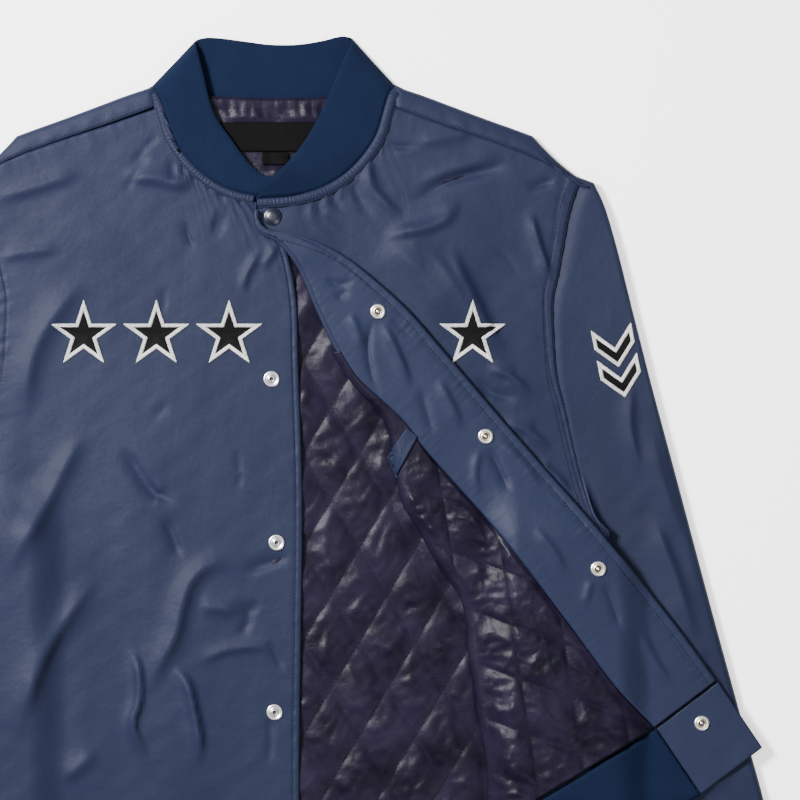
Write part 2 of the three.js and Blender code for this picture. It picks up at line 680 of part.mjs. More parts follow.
function ribRows() {
  const rows = [];
  const straight = (xs, high) => xs.forEach((x) => rows.push({ x, y: ribSeamY, high, dx: 0, dy: -1 }));
  const round = (x, sign, angles) => angles.forEach((degrees) => {
    const angle = THREE.MathUtils.degToRad(degrees);
    const radius = ribTurn.low / 2;
    rows.push({
      x: x + sign * radius * Math.sin(angle), y: ribSeamY,
      high: radius + radius * Math.cos(angle), dx: 0, dy: -1,
    });
  });
  const side = body.hemHalf - ribTurn.low / 2;
  straight([-42.4, -80, -120, -160, -185, -210, -232], ribTurn.low);
  round(-side, -1, [0, 45, 90, 135, 180]);
  straight([-232, -210, -185, -160, -120, -80, -40, 0, 40, 80, 120, 160, 185, 210, 232], 0);
  round(side, 1, [180, 135, 90, 45, 0]);
  straight([232, 210, 192], ribTurn.low);
  rows.push({ x: 178, y: ribSeamY, high: ribTurn.low, dx: 0.14, dy: -0.99 });
  rows.push({ x: 174, y: ribSeamY, high: (ribTurn.low + ribTurn.high) / 2, dx: 0.14, dy: -0.99 });
  rows.push({ x: 178, y: ribSeamY, high: ribTurn.high, dx: 0.16, dy: -0.98 });
  for (const t of [0.07, 0.13, ...liningColumns.slice(1)]) {
    const [x, y] = mix(foldLine(0), facingEdge(0), t);
    const slant = ease(0, 0.5, t);
    rows.push({ x: x + 1.2, y: y - 2.6, high: ribTurn.over, dx: lerp(0.3, 0.56, slant),
      dy: -lerp(0.95, 0.83, slant), turned: true });
  }
  return rows;
}

function hemRib() {
  const grid = ribRows().map((row) => steps(4).map((t) => {
    const x = row.x + row.dx * ribHeight * t;
    const y = row.y + row.dy * ribHeight * t;
    const rise = row.turned ? turnedRise(x, y) - foldRise(x, y) : lift(Math.min(Math.abs(x), 248), y);
    return new THREE.Vector3(x, y, row.high + rise);
  }));
  return wallGeometry(grid, wall.rib);
}

// Each front ends in shell cloth below the body, beside the rib
function placketEnd(corner, across, down, thick, height) {
  const grid = steps(3).map((t) => steps(3).map((u) => {
    const x = corner[0] + across[0] * u + down[0] * ribHeight * t;
    const y = corner[1] + across[1] * u + down[1] * ribHeight * t;
    return new THREE.Vector3(x, y, height(x, y));
  }));
  return wallGeometry(grid, thick);
}

const leftEnd = { from: facingEdge(0), down: [0.56, -0.83] };
const leftAcross = [turnedEdge(0)[0] - leftEnd.from[0], turnedEdge(0)[1] - leftEnd.from[1]];

// Label, size tab and pocket welt
const label = { width: 80, height: 23, depth: 0.8, x: -4, y: 290, z: 6.2 };
const tab = { width: 21, height: 10, depth: 0.8, x: 0.5, y: 272.8, z: 6.2 };

function slab({ width, height, depth, x, y, z }) {
  const geometry = new THREE.BoxGeometry(width, height, depth);
  geometry.translate(x, y, z + depth / 2);
  return geometry;
}

function outlineSlab(points, depth, base) {
  const shape = new THREE.Shape(points.map(([x, y]) => new THREE.Vector2(x, y)));
  const geometry = new THREE.ExtrudeGeometry(shape, { depth, bevelEnabled: false });
  const places = geometry.attributes.position;
  for (let i = 0; i < places.count; i++) {
    places.setZ(i, places.getZ(i) + base(places.getX(i), places.getY(i)));
  }
  return geometry;
}

const welt = {
  corners: [[105.6, 57.5], [113.5, 51], [98.4, 23.2], [96.8, 17.6], [89.6, 34.4]],
  base: 15,
  thick: 1.4,
};

// Snaps are turned shapes that lie on the cloth
function turnedPart(profile, [x, y], z) {
  const points = profile.map(([radius, height]) => new THREE.Vector2(radius, height));
  const geometry = new THREE.LatheGeometry(points, 14);
  geometry.rotateX(Math.PI / 2);
  geometry.translate(x, y, z);
  return geometry;
}

const studProfile = [
  [0, 0], [stud.radius, 0], [stud.radius, stud.rim * 0.6], [stud.radius - 1.4, stud.rim],
  [stud.post + 0.8, stud.rim * 0.6], [stud.post, stud.height], [0, stud.height],
];
const socketProfile = [
  [0, 0], [socket.radius, 0], [socket.radius - 0.6, socket.height * 0.7],
  [socket.radius - 2, socket.height], [socket.hole, socket.height], [socket.hole, 0.8], [0, 0.8],
];
const capProfile = [[0, 0], [capRadius, 0], [capRadius - 0.4, 1.2], [capRadius - 2.6, 2], [0, 2.4]];
const snapSeat = { shell: 0.4, facing: 0.5 };
const studPlaces = [[-2.4, 96.8], [1.6, -33.6], [0, -168.8], [0, -292]];
const socketPlaces = [[82.4, 150.4], [168, 51.2], [256.8, -53.6], [340, -177]];
const capPlace = [-1.5, 226];

// Applique: plain stars in a row across the chest and two nested chevrons on the sleeve
function starOutline([x, y]) {
  return [...Array(10).keys()].map((k) => {
    const radius = k % 2 ? starRadius.in : starRadius.out;
    const angle = Math.PI / 2 + (k * Math.PI) / 5;
    return [x + radius * Math.cos(angle), y + radius * Math.sin(angle)];
  });
}

const starRow = { y: 132, right: [-36, -94, -152], left: [158] };
const chevron = { x: 279, halfWidth: 15, drop: 16, band: 12, lean: 0.2, bottoms: [84, 108] };

function chevronOutline(bottom) {
  const { halfWidth, drop, band } = chevron;
  const corners = [
    [-halfWidth, drop], [0, 0], [halfWidth, drop], [halfWidth, drop + band], [0, band],
    [-halfWidth, drop + band],
  ];
  return corners.map(([x, y]) => {
    const across = x * Math.cos(chevron.lean) + y * Math.sin(chevron.lean) * -1;
    const up = x * Math.sin(chevron.lean) + y * Math.cos(chevron.lean);
    const shift = (bottom - chevron.bottoms[0]) * -Math.tan(chevron.lean);
    return [chevron.x + across + shift, bottom + up];
  });
}

addPiece('back_shell', backShell(), navy);
addPiece('back_lining', backLining(), liningPlum);
addPiece('front_right_shell', rightFront(), navy);
addPiece('front_left_shell', leftFront(), navy);
addPiece('front_left_facing', leftFacing(), facingBlue);
addPiece('front_left_lining', leftLining(), liningPlum);
addPiece('sleeve_right', sleeve(-1), navy);
addPiece('sleeve_left', sleeve(1), navy);
addPiece('cuff_right', cuffTube(-1), ribNavy);
addPiece('cuff_left', cuffTube(1), ribNavy);
addPiece('collar_rib', collarBand(), ribNavy);
addPiece('hem_rib', hemRib(), ribNavy);
addPiece('placket_end_right', placketEnd([20, ribSeamY], [-placketWidth, 0], [0, -1], wall.front,
  (x, y) => level.front + lift(x, y)), navy);
addPiece('placket_end_left', placketEnd([leftEnd.from[0] + 2, leftEnd.from[1] - 1.2], leftAcross,
  leftEnd.down, -wall.front, (x, y) => level.turned + turnedRise(x, y)), navy);
addPiece('neck_label', slab(label), black);
addPiece('size_tab', slab(tab), black);
addPiece('inner_pocket_welt', outlineSlab(welt.corners, welt.thick, () => welt.base), navy);

studPlaces.forEach((place, i) => {
  const panel = place[1] > body.hemY ? rightFrontHeight(...place) : level.front + wall.front;
  addPiece(`snap_stud_${i + 1}`, turnedPart(studProfile, place, panel + snapSeat.shell), silver);
});
socketPlaces.forEach((place, i) => {
  const onEnd = i === socketPlaces.length - 1;
  const top = onEnd ? level.turned + wall.front : level.facing + wall.turned;
  const base = top + turnedRise(...place) + snapSeat.facing;
  addPiece(`snap_socket_${i + 1}`, turnedPart(socketProfile, place, base), silver);
});
const capBase = leftFrontHeight(...capPlace) + snapSeat.shell;
addPiece('collar_snap_cap', turnedPart(capProfile, capPlace, capBase), capNavy);

starRow.right.forEach((x, i) => {
  const base = (px, py) => rightFrontHeight(px, py) + applique.clearance;
  const star = outlineSlab(starOutline([x, starRow.y]), applique.thick, base);
  addPiece(`chest_star_right_${i + 1}`, star, black);
});
starRow.left.forEach((x, i) => {
  const base = (px, py) => leftFrontHeight(px, py) + applique.clearance;
  const star = outlineSlab(starOutline([x, starRow.y]), applique.thick, base);
  addPiece(`chest_star_left_${i + 1}`, star, black);
});
chevron.bottoms.forEach((bottom, i) => {
  const base = () => level.sleeve + applique.clearance;
  addPiece(`sleeve_chevron_${i + 1}`, outlineSlab(chevronOutline(bottom), applique.thick, base), black);
});

export default group;
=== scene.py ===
import math

import bmesh
import bpy
import numpy as np
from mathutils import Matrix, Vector
from mathutils.bvhtree import BVHTree


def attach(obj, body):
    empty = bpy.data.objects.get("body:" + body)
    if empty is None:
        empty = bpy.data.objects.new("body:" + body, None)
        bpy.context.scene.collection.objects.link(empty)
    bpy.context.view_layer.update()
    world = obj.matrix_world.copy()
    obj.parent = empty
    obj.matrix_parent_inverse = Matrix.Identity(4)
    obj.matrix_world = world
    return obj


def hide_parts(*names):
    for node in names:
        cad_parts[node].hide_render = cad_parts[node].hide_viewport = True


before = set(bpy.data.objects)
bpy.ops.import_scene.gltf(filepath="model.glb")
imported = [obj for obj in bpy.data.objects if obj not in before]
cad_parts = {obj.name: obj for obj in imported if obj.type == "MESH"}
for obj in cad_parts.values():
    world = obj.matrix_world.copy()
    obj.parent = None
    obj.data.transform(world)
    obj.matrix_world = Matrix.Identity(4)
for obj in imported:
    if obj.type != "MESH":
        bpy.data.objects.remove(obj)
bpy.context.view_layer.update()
print("frame loaded")

mm = 0.001

# How the jacket is cut and laid, in mm: X across, Y up to the collar, Z up from the floor
jacket = {
    "hemHalf": 252, "hemY": -257, "underarm": (268, -28),
    "shoulderTip": (243, 253), "foldTip": (254, 254), "neckPoint": (92.8, 315.2),
    "shoulderRadius": 4.9, "sideRadius": 5, "sleeveLift": 10.3,
    "sideShare": 0.45, "neckShare": 0.5, "ribHeight": 63, "hemLap": 2.4,
    "foldFoot": 175,
}

# Height of each layer's own face above the floor
level = {
    "lining": 1.9, "sideSeam": 2.5, "front": 9.5, "leftFront": 9.9, "turned": 11.0,
    "facing": 13.1, "sleeve": 10.0,
}


def ease(low, high, value):
    t = np.clip((np.asarray(value, float) - low) / (high - low), 0, 1)
    return t * t * (3 - 2 * t)


def lerp(a, b, t):
    return a + (b - a) * t


# Centripetal Catmull-Rom through the rows, resampled to count rows of even length
def smoothRows(rows, count):
    p = np.asarray(rows, float)
    p = np.vstack([2 * p[0] - p[1], p, 2 * p[-1] - p[-2]])
    out = []
    for i in range(1, len(p) - 2):
        a, b, c, d = p[i - 1:i + 3]
        gaps = [max(np.linalg.norm(y - x), 1e-4) ** 0.5 for x, y in ((a, b), (b, c), (c, d))]
        t0, t1 = 0.0, gaps[0]
        t2, t3 = gaps[0] + gaps[1], sum(gaps)
        t = np.linspace(t1, t2, 25)[:-1 if i < len(p) - 3 else None, None]
        a1 = (t1 - t) / (t1 - t0) * a + (t - t0) / (t1 - t0) * b
        a2 = (t2 - t) / (t2 - t1) * b + (t - t1) / (t2 - t1) * c
        a3 = (t3 - t) / (t3 - t2) * c + (t - t2) / (t3 - t2) * d
        b1 = (t2 - t) / (t2 - t0) * a1 + (t - t0) / (t2 - t0) * a2
        b2 = (t3 - t) / (t3 - t1) * a2 + (t - t1) / (t3 - t1) * a3
        out.append((t2 - t) / (t2 - t1) * b1 + (t - t1) / (t2 - t1) * b2)
    dense = np.vstack(out)
    steps = np.linalg.norm(np.diff(dense, axis=0), axis=1)
    s = np.concatenate([[0], np.cumsum(steps)])
    s /= s[-1]
    want = np.linspace(0, 1, count)
    return np.stack([np.interp(want, s, dense[:, k]) for k in range(dense.shape[1])], axis=1)


# A smooth line in plan, as a function of its share of the length
def route(rows):
    table = smoothRows(rows, 801)
    share = np.linspace(0, 1, 801)
    return lambda t: np.stack([np.interp(t, share, table[:, k]) for k in (0, 1)], axis=-1)


def joined(first, second, share):
    def line(t):
        t = np.asarray(t, float)
        low = first(np.clip(t / share, 0, 1))
        high = second(np.clip((t - share) / (1 - share), 0, 1))
        return np.where((t <= share)[..., None], low, high)
    return line


def mirrored(line):
    return lambda t: line(t) * np.array([-1.0, 1.0])


# Places between four edges; u runs left to right and v upwards
def patch(bottom, top, left, right):
    c = [bottom(0.0), bottom(1.0), top(0.0), top(1.0)]

    def surface(u, v):
        u1, v1 = u[..., None], v[..., None]
        across = lerp(bottom(u), top(u), v1)
        along = lerp(left(v), right(v), u1)
        return across + along - lerp(lerp(c[0], c[1], u1), lerp(c[2], c[3], u1), v1)
    return surface


# Seams and edges of the body, from the hem up or from the neck out
hem, corner = jacket["hemY"], jacket["underarm"]
sideSeam = route([(jacket["hemHalf"], hem), (256, -190), (261, -110), corner])
frontArmhole = route([
    corner, (257.6, -17.6), (246.4, 13.6), (238.4, 44.8), (232, 72.8), (225.6, 99.2),
    (223, 129.6), (222.4, 160), (226.5, 180), (230, 200), (235.5, 230),
    jacket["shoulderTip"],
])
backArmhole = route([
    corner, (257.6, -17.6), (246.4, 13.6), (238.4, 44.8), (232, 72.8), (225.6, 99.2),
    (223, 129.6), (223.4, 160), (230, 191), (241, 228), jacket["foldTip"],
])
neckline = route([(0, 236.5), (33, 244.5), (55, 256.8), (73, 272.8), (86.5, 293), jacket["neckPoint"]])
shoulderSeam = route([
    jacket["neckPoint"], (131.2, 301.2), (179.2, 284.8), (216.5, 269.8), jacket["shoulderTip"],
])
shoulderFold = route([(93, 332), (156, 308.2), (218.4, 284.4), (236, 273), jacket["foldTip"]])
rightEdge = route([
    (20, hem), (19.8, -210.4), (21.4, -97.6), (22.3, 0), (19, 110.4), (17.4, 159.2),
    (11.7, 192), (4, 214), (-4, 230), (-12, 236.8),
])
foldLine = route([
    (jacket["foldFoot"], hem), (173.6, -210.4), (168, -176), (160, -124.8), (154, -80), (136, -52.8),
    (120, -24), (106, 0), (101, 30), (92, 64), (65.6, 95.2), (49.6, 120.8), (35.2, 150.4),
    (21.4, 182.4), (12, 197), (0, 208), (-10, 213.5), (-14, 219), (-14.6, 228), (-14, 236),
])
turnedEdge = route([
    (351, -143), (319.2, -99.2), (257.2, -23), (204, 38), (175.4, 70.9), (134, 119.4),
    (104, 153.6), (74.2, 180.2), (58, 192.5), (39.7, 203), (25.9, 208), (10.4, 212.5),
    (0, 213.8), (-8, 216.6), (-12.8, 223), (-13.5, 231.5),
])
facingEdge = route([
    (302.2, -180), (274.4, -151.2), (232.8, -96), (180.8, -28), (118.4, 42.8), (104, 62.4),
    (81.1, 84), (65.4, 99), (51.5, 121.4), (37.2, 151), (23.4, 183.2), (14, 198.2), (2, 209.4),
    (-9.4, 214.3), (-14.3, 222.4), (-15, 231.2),
])


# Relief: what the cloth does on top of the plain layers
# Soft uneven ground from a few plane waves, about -1 to 1
def waves(seed, count, low, high):
    rng = np.random.default_rng(seed)
    turn = rng.uniform(0, math.tau, count)
    size = rng.uniform(low, high, count)
    phase = rng.uniform(0, math.tau, count)

    def ground(x, y):
        total = 0
        for a, s, f in zip(turn, size, phase):
            total = total + np.sin((x * math.cos(a) + y * math.sin(a)) * math.tau / s + f)
        return total / math.sqrt(count * 2)
    return ground


# Sharper ridges, 0 to about 1, from folded waves that are bent by softer ones
def crumple(seed, count, low, high):
    rng = np.random.default_rng(seed)
    rows = [(rng.uniform(0, math.pi), rng.uniform(low, high), rng.uniform(0, math.tau))
            for _ in range(count)]
    bend = waves(seed + 1, 4, high * 1.5, high * 3)

    def ground(x, y):
        shift = bend(x, y) * high * 0.35
        total = 0
        for a, s, f in rows:
            swing = (x * math.cos(a) + y * math.sin(a) + shift) * math.pi / s + f
            total = total + (1 - np.abs(np.sin(swing))) ** 2
        return total / count
    return ground


# An uneven wave along a seam
def jitter(seed, count, low, high):
    rng = np.random.default_rng(seed)
    rows = [(rng.uniform(low, high), rng.uniform(0, math.tau), rng.uniform(0.5, 1)) for _ in range(count)]

    def line(s):
        total = 0
        for size, phase, strength in rows:
            total = total + strength * np.sin(s * math.tau / size + phase)
        return total / math.sqrt(count)
    return line


# Side to the lower right is steeper by each fold's own skew
crease = {"strength": 1.75, "right": 0.86, "down": 0.5, "soft": 1.15, "power": 1.5, "places": 20}


# Listed folds along short routes
def strokes(x, y, rows):
    rise = np.zeros_like(x)
    for points, width, height, skew in rows:
        line = smoothRows(points, crease["places"])
        low, high = line.min(0) - 4 * width, line.max(0) + 4 * width
        near = (x > low[0]) & (x < high[0]) & (y > low[1]) & (y < high[1])
        if not near.any():
            continue
        px, py = x[near], y[near]
        best = np.full(px.shape, 1e9)
        side, share = np.zeros_like(best), np.zeros_like(best)
        for i in range(len(line) - 1):
            dx, dy = line[i + 1] - line[i]
            t = np.clip(((px - line[i, 0]) * dx + (py - line[i, 1]) * dy) / (dx * dx + dy * dy), 0, 1)
            ox, oy = px - line[i, 0] - t * dx, py - line[i, 1] - t * dy
            away = np.hypot(ox, oy)
            closer = away < best
            best = np.where(closer, away, best)
            side = np.where(closer, crease["right"] * ox - crease["down"] * oy, side)
            share = np.where(closer, (i + t) / (len(line) - 1), share)
        spread = width * np.where(side > 0, 1 / skew, crease["soft"])
        ends = ease(0, 0.3, share) * ease(1, 0.65, share)
        rise[near] += crease["strength"] * height * ends * np.exp(-(best / spread) ** crease["power"])
    return rise


# Broad folds of the whole body: from x, y to x, y, width and height
largeFolds = [
    (-60, -250, -120, 60, 26, 1.6), (-150, -250, -175, -20, 24, 2.0),
    (-110, 190, -190, 235, 18, 1.6), (110, 235, 185, 190, 20, 2.0),
    (-205, 60, -225, -60, 16, 1.6),
]


def foldRise(x, y):
    rise = np.zeros_like(x)
    for x1, y1, x2, y2, width, height in largeFolds:
        dx, dy = x2 - x1, y2 - y1
        length = math.hypot(dx, dy)
        along = ((x - x1) * dx + (y - y1) * dy) / length
        off = ((x - x1) * dy - (y - y1) * dx) / length
        ends = ease(-10, 40, along) * ease(length + 10, length - 40, along)
        rise += height * ends * np.exp(-((off / width) ** 2))
    return rise


ride = {"x": (165, 195), "y": (20, -30), "end": (-246, -325), "endDrop": 0.6}
overlap = {"rise": 1.9, "x": (60, 20), "y": (178, 198)}
beyondSide = {"x": (272, 300), "rise": 0.6, "last": 262}


# How far the body's side rides up over the sleeve under it
def lift(x, y):
    across = ease(*ride["x"], np.abs(x))
    along = ease(*ride["y"], y) * (1 - ride["endDrop"] * ease(*ride["end"], y))
    return jacket["sleeveLift"] * across * along


# Where the left front lies over the right one, below the collar
def overRight(x, y):
    return overlap["rise"] * ease(*overlap["y"], y) * ease(*overlap["x"], x)


# What the turned layer lies on: the body's side, then the sleeve beside it
def turnedRise(x, y):
    under = lift(np.minimum(x, beyondSide["last"]), y) + foldRise(x, y)
    return lerp(under, beyondSide["rise"], ease(*beyondSide["x"], x)) + overRight(x, y)


quilt = {"across": 45, "along": 75}


def quiltPuff(x, y, sharp=0.5):
    a = np.abs(np.sin(math.pi * (x / quilt["across"] + y / quilt["along"])))
    b = np.abs(np.sin(math.pi * (x / quilt["across"] - y / quilt["along"])))
    return (a * b) ** sharp


# Meshes from grids of places in mm
def gridNormals(p, ring):
    if ring:
        across = np.roll(p, -1, axis=1) - np.roll(p, 1, axis=1)
    else:
        across = np.gradient(p, axis=1)
    along = np.gradient(p, axis=0)
    n = np.cross(across, along)
    return n / np.maximum(np.linalg.norm(n, axis=-1, keepdims=True), 1e-9)


def gridQuads(rows, columns, ring, offset=0):
    j, i = np.meshgrid(np.arange(rows - 1), np.arange(columns if ring else columns - 1), indexing="ij")
    k = (i + 1) % columns
    quads = np.stack([j * columns + i, j * columns + k, (j + 1) * columns + k, (j + 1) * columns + i], -1)
    return quads.reshape(-1, 4) + offset


def volumeSign(vertices, quads):
    a, b, c, d = (vertices[quads[:, k]] for k in range(4))
    return np.sum(np.einsum("ij,ij->i", a, np.cross(b, c)) + np.einsum("ij,ij->i", a, np.cross(c, d)))


# Lengths along the cloth, in metres, so that a weave keeps its scale
def clothUv(p):
    across = np.linalg.norm(np.diff(p, axis=1), axis=-1)
    along = np.linalg.norm(np.diff(p, axis=0), axis=-1)
    u = np.concatenate([np.zeros((p.shape[0], 1)), np.cumsum(across, axis=1)], axis=1)
    v = np.concatenate([np.zeros((1, p.shape[1])), np.cumsum(along, axis=0)], axis=0)
    u = u - u[:, u.shape[1] // 2:u.shape[1] // 2 + 1]
    return np.stack([u, v], axis=-1) * mm


def makeObject(name, vertices, quads, uv, material):
    mesh = bpy.data.meshes.new(name)
    mesh.from_pydata((vertices * mm).tolist(), [], quads.tolist())
    layer = mesh.uv_layers.new(name="cloth")
    loops = np.empty(len(mesh.loops), dtype=np.int32)
    mesh.loops.foreach_get("vertex_index", loops)
    layer.data.foreach_set("uv", uv[loops].astype(np.float32).ravel())
    mesh.polygons.foreach_set("use_smooth", np.ones(len(mesh.polygons), dtype=bool))
    mesh.materials.append(material)
    mesh.update()
    thing = bpy.data.objects.new(name, mesh)
    bpy.context.scene.collection.objects.link(thing)
    return thing


# A closed wall: p is the face that shows, and the other lies off it along the normals
def makeWall(name, p, thick, material, ring=False):
    rows, columns = p.shape[:2]
    n = gridNormals(p, ring)
    back = p + n * thick
    vertices = np.concatenate([p.reshape(-1, 3), back.reshape(-1, 3)])
    size = rows * columns
    near = gridQuads(rows, columns, ring)[:, ::-1]
    far = gridQuads(rows, columns, ring, size)
    i = np.arange(columns if ring else columns - 1)
    k = (i + 1) % columns
    last = (rows - 1) * columns
    first = np.stack([i, k, k + size, i + size], -1)
    end = np.stack([last + k, last + i, last + i + size, last + k + size], -1)
    parts = [near, far, first, end]
    if not ring:
        j = np.arange(rows - 1) * columns
        parts.append(np.stack([j + columns, j, j + size, j + columns + size], -1))
        j = j + columns - 1
        parts.append(np.stack([j, j + columns, j + columns + size, j + size], -1))
    quads = np.concatenate(parts)
    if volumeSign(vertices, quads) < 0:
        quads = quads[:, ::-1]
    uv = clothUv(p).reshape(-1, 2)
    return makeObject(name, vertices, quads, np.concatenate([uv, uv]), material)


def withZ(plan, z):
    return np.concatenate([plan, np.asarray(z)[..., None]], axis=-1)


# Materials, all from nodes: the weave lies on the cloth's own map, tone and crinkle go by place
def nodeMaterial(name):
    material = bpy.data.materials.new(name)
    material.use_nodes = True
    nodes, links = material.node_tree.nodes, material.node_tree.links
    return material, nodes, links, nodes["Principled BSDF"]


# Each value names a property of the node or one of its inputs
def addNode(nodes, kind, **values):
    node = nodes.new(kind)
    for key, value in values.items():
        if hasattr(node, key):
            setattr(node, key, value)
        else:
            node.inputs[key.replace("_", " ")].default_value = value
    return node


# look: finish, two tones, weave as axis, pitch in metres and strength, and crinkles by scale
def clothMaterial(name, look):
    material, nodes, links, shader = nodeMaterial(name)
    shader.inputs["Roughness"].default_value = look["roughness"]
    shader.inputs["Specular IOR Level"].default_value = look["specular"]
    shader.inputs["Sheen Weight"].default_value = look["sheen"]
    shader.inputs["Sheen Roughness"].default_value = 0.4
    place = nodes.new("ShaderNodeTexCoord")
    tone = addNode(nodes, "ShaderNodeTexNoise", Scale=look["toneScale"], Detail=4.0, Roughness=0.6)
    links.new(place.outputs["Object"], tone.inputs["Vector"])
    ramp = nodes.new("ShaderNodeValToRGB")
    ramp.color_ramp.elements[0].position = 0.3
    ramp.color_ramp.elements[1].position = 0.7
    ramp.color_ramp.elements[0].color = (*look["dark"], 1)
    ramp.color_ramp.elements[1].color = (*look["light"], 1)
    links.new(tone.outputs["Fac"], ramp.inputs["Fac"])
    links.new(ramp.outputs["Color"], shader.inputs["Base Color"])
    height = None
    for axis, pitch, strength in look["weave"]:
        wave = addNode(nodes, "ShaderNodeTexWave", Scale=math.tau / 20 / pitch, Distortion=look["bend"],
                       Detail=1.0)
        wave.bands_direction = axis
        links.new(place.outputs["UV"], wave.inputs["Vector"])
        part = addNode(nodes, "ShaderNodeMath", operation="MULTIPLY")
        part.inputs[1].default_value = strength
        links.new(wave.outputs["Fac"], part.inputs[0])
        height = addUp(nodes, links, height, part)
    for scale, strength in look["crinkle"]:
        noise = addNode(nodes, "ShaderNodeTexNoise", Scale=scale, Detail=3.0, Roughness=0.55)
        links.new(place.outputs["Object"], noise.inputs["Vector"])
        part = addNode(nodes, "ShaderNodeMath", operation="MULTIPLY")
        part.inputs[1].default_value = strength
        links.new(noise.outputs["Fac"], part.inputs[0])
        height = addUp(nodes, links, height, part)
    bump = addNode(nodes, "ShaderNodeBump", Strength=look["bump"], Distance=0.001)
    links.new(height.outputs[0], bump.inputs["Height"])
    links.new(bump.outputs["Normal"], shader.inputs["Normal"])
    return material


def addUp(nodes, links, total, part):
    if total is None:
        return part
    both = addNode(nodes, "ShaderNodeMath", operation="ADD")
    links.new(total.outputs[0], both.inputs[0])
    links.new(part.outputs[0], both.inputs[1])
    return both


taffeta = clothMaterial("navyTaffeta", {
    "roughness": 0.5, "specular": 0.09, "sheen": 0.0, "toneScale": 9.0,
    "dark": (0.0078, 0.0104, 0.0262), "light": (0.0098, 0.0128, 0.0310),
    "weave": [("X", 0.0007, 0.05), ("Y", 0.0009, 0.05)], "bend": 0.4,
    "crinkle": [(70.0, 1.0), (260.0, 0.25)], "bump": 0.55,
})
facingTaffeta = clothMaterial("facingTaffeta", {
    "roughness": 0.5, "specular": 0.1, "sheen": 0.0, "toneScale": 9.0,
    "dark": (0.0088, 0.0120, 0.0292), "light": (0.0108, 0.0144, 0.0342),
    "weave": [("X", 0.0007, 0.05), ("Y", 0.0009, 0.05)], "bend": 0.4,
    "crinkle": [(80.0, 1.0), (300.0, 0.25)], "bump": 0.5,
})
ribKnit = clothMaterial("ribKnit", {
    "roughness": 0.85, "specular": 0.05, "sheen": 0.0, "toneScale": 30.0,
    "dark": (0.0030, 0.0062, 0.0190), "light": (0.0040, 0.0078, 0.0230),
    "weave": [("Y", 0.0016, 0.45), ("X", 0.0011, 0.08)], "bend": 0.3,
    "crinkle": [(600.0, 0.25)], "bump": 0.5,
})
liningCloth = clothMaterial("plumLining", {
    "roughness": 0.36, "specular": 0.09, "sheen": 0.0, "toneScale": 34.0,
    "dark": (0.0018, 0.0012, 0.0048), "light": (0.0100, 0.0072, 0.0190),
    "weave": [("X", 0.0006, 0.04), ("Y", 0.0008, 0.04)], "bend": 0.4,
    "crinkle": [(60.0, 1.4), (170.0, 0.5)], "bump": 0.5,
})
labelCloth = clothMaterial("labelRibbon", {
    "roughness": 0.7, "specular": 0.05, "sheen": 0.0, "toneScale": 60.0,
    "dark": (0.0012, 0.0012, 0.0012), "light": (0.0020, 0.0020, 0.0020),
    "weave": [("X", 0.0009, 0.3), ("Y", 0.0009, 0.3)], "bend": 0.0,
    "crinkle": [(300.0, 0.2)], "bump": 0.4,
})
twill = clothMaterial("blackTwill", {
    "roughness": 0.8, "specular": 0.08, "sheen": 0.0, "toneScale": 60.0,
    "dark": (0.0030, 0.0030, 0.0032), "light": (0.0045, 0.0045, 0.0048),
    "weave": [("DIAGONAL", 0.0016, 0.6)], "bend": 0.2,
    "crinkle": [(400.0, 0.3)], "bump": 0.6,
})
print("materials made")

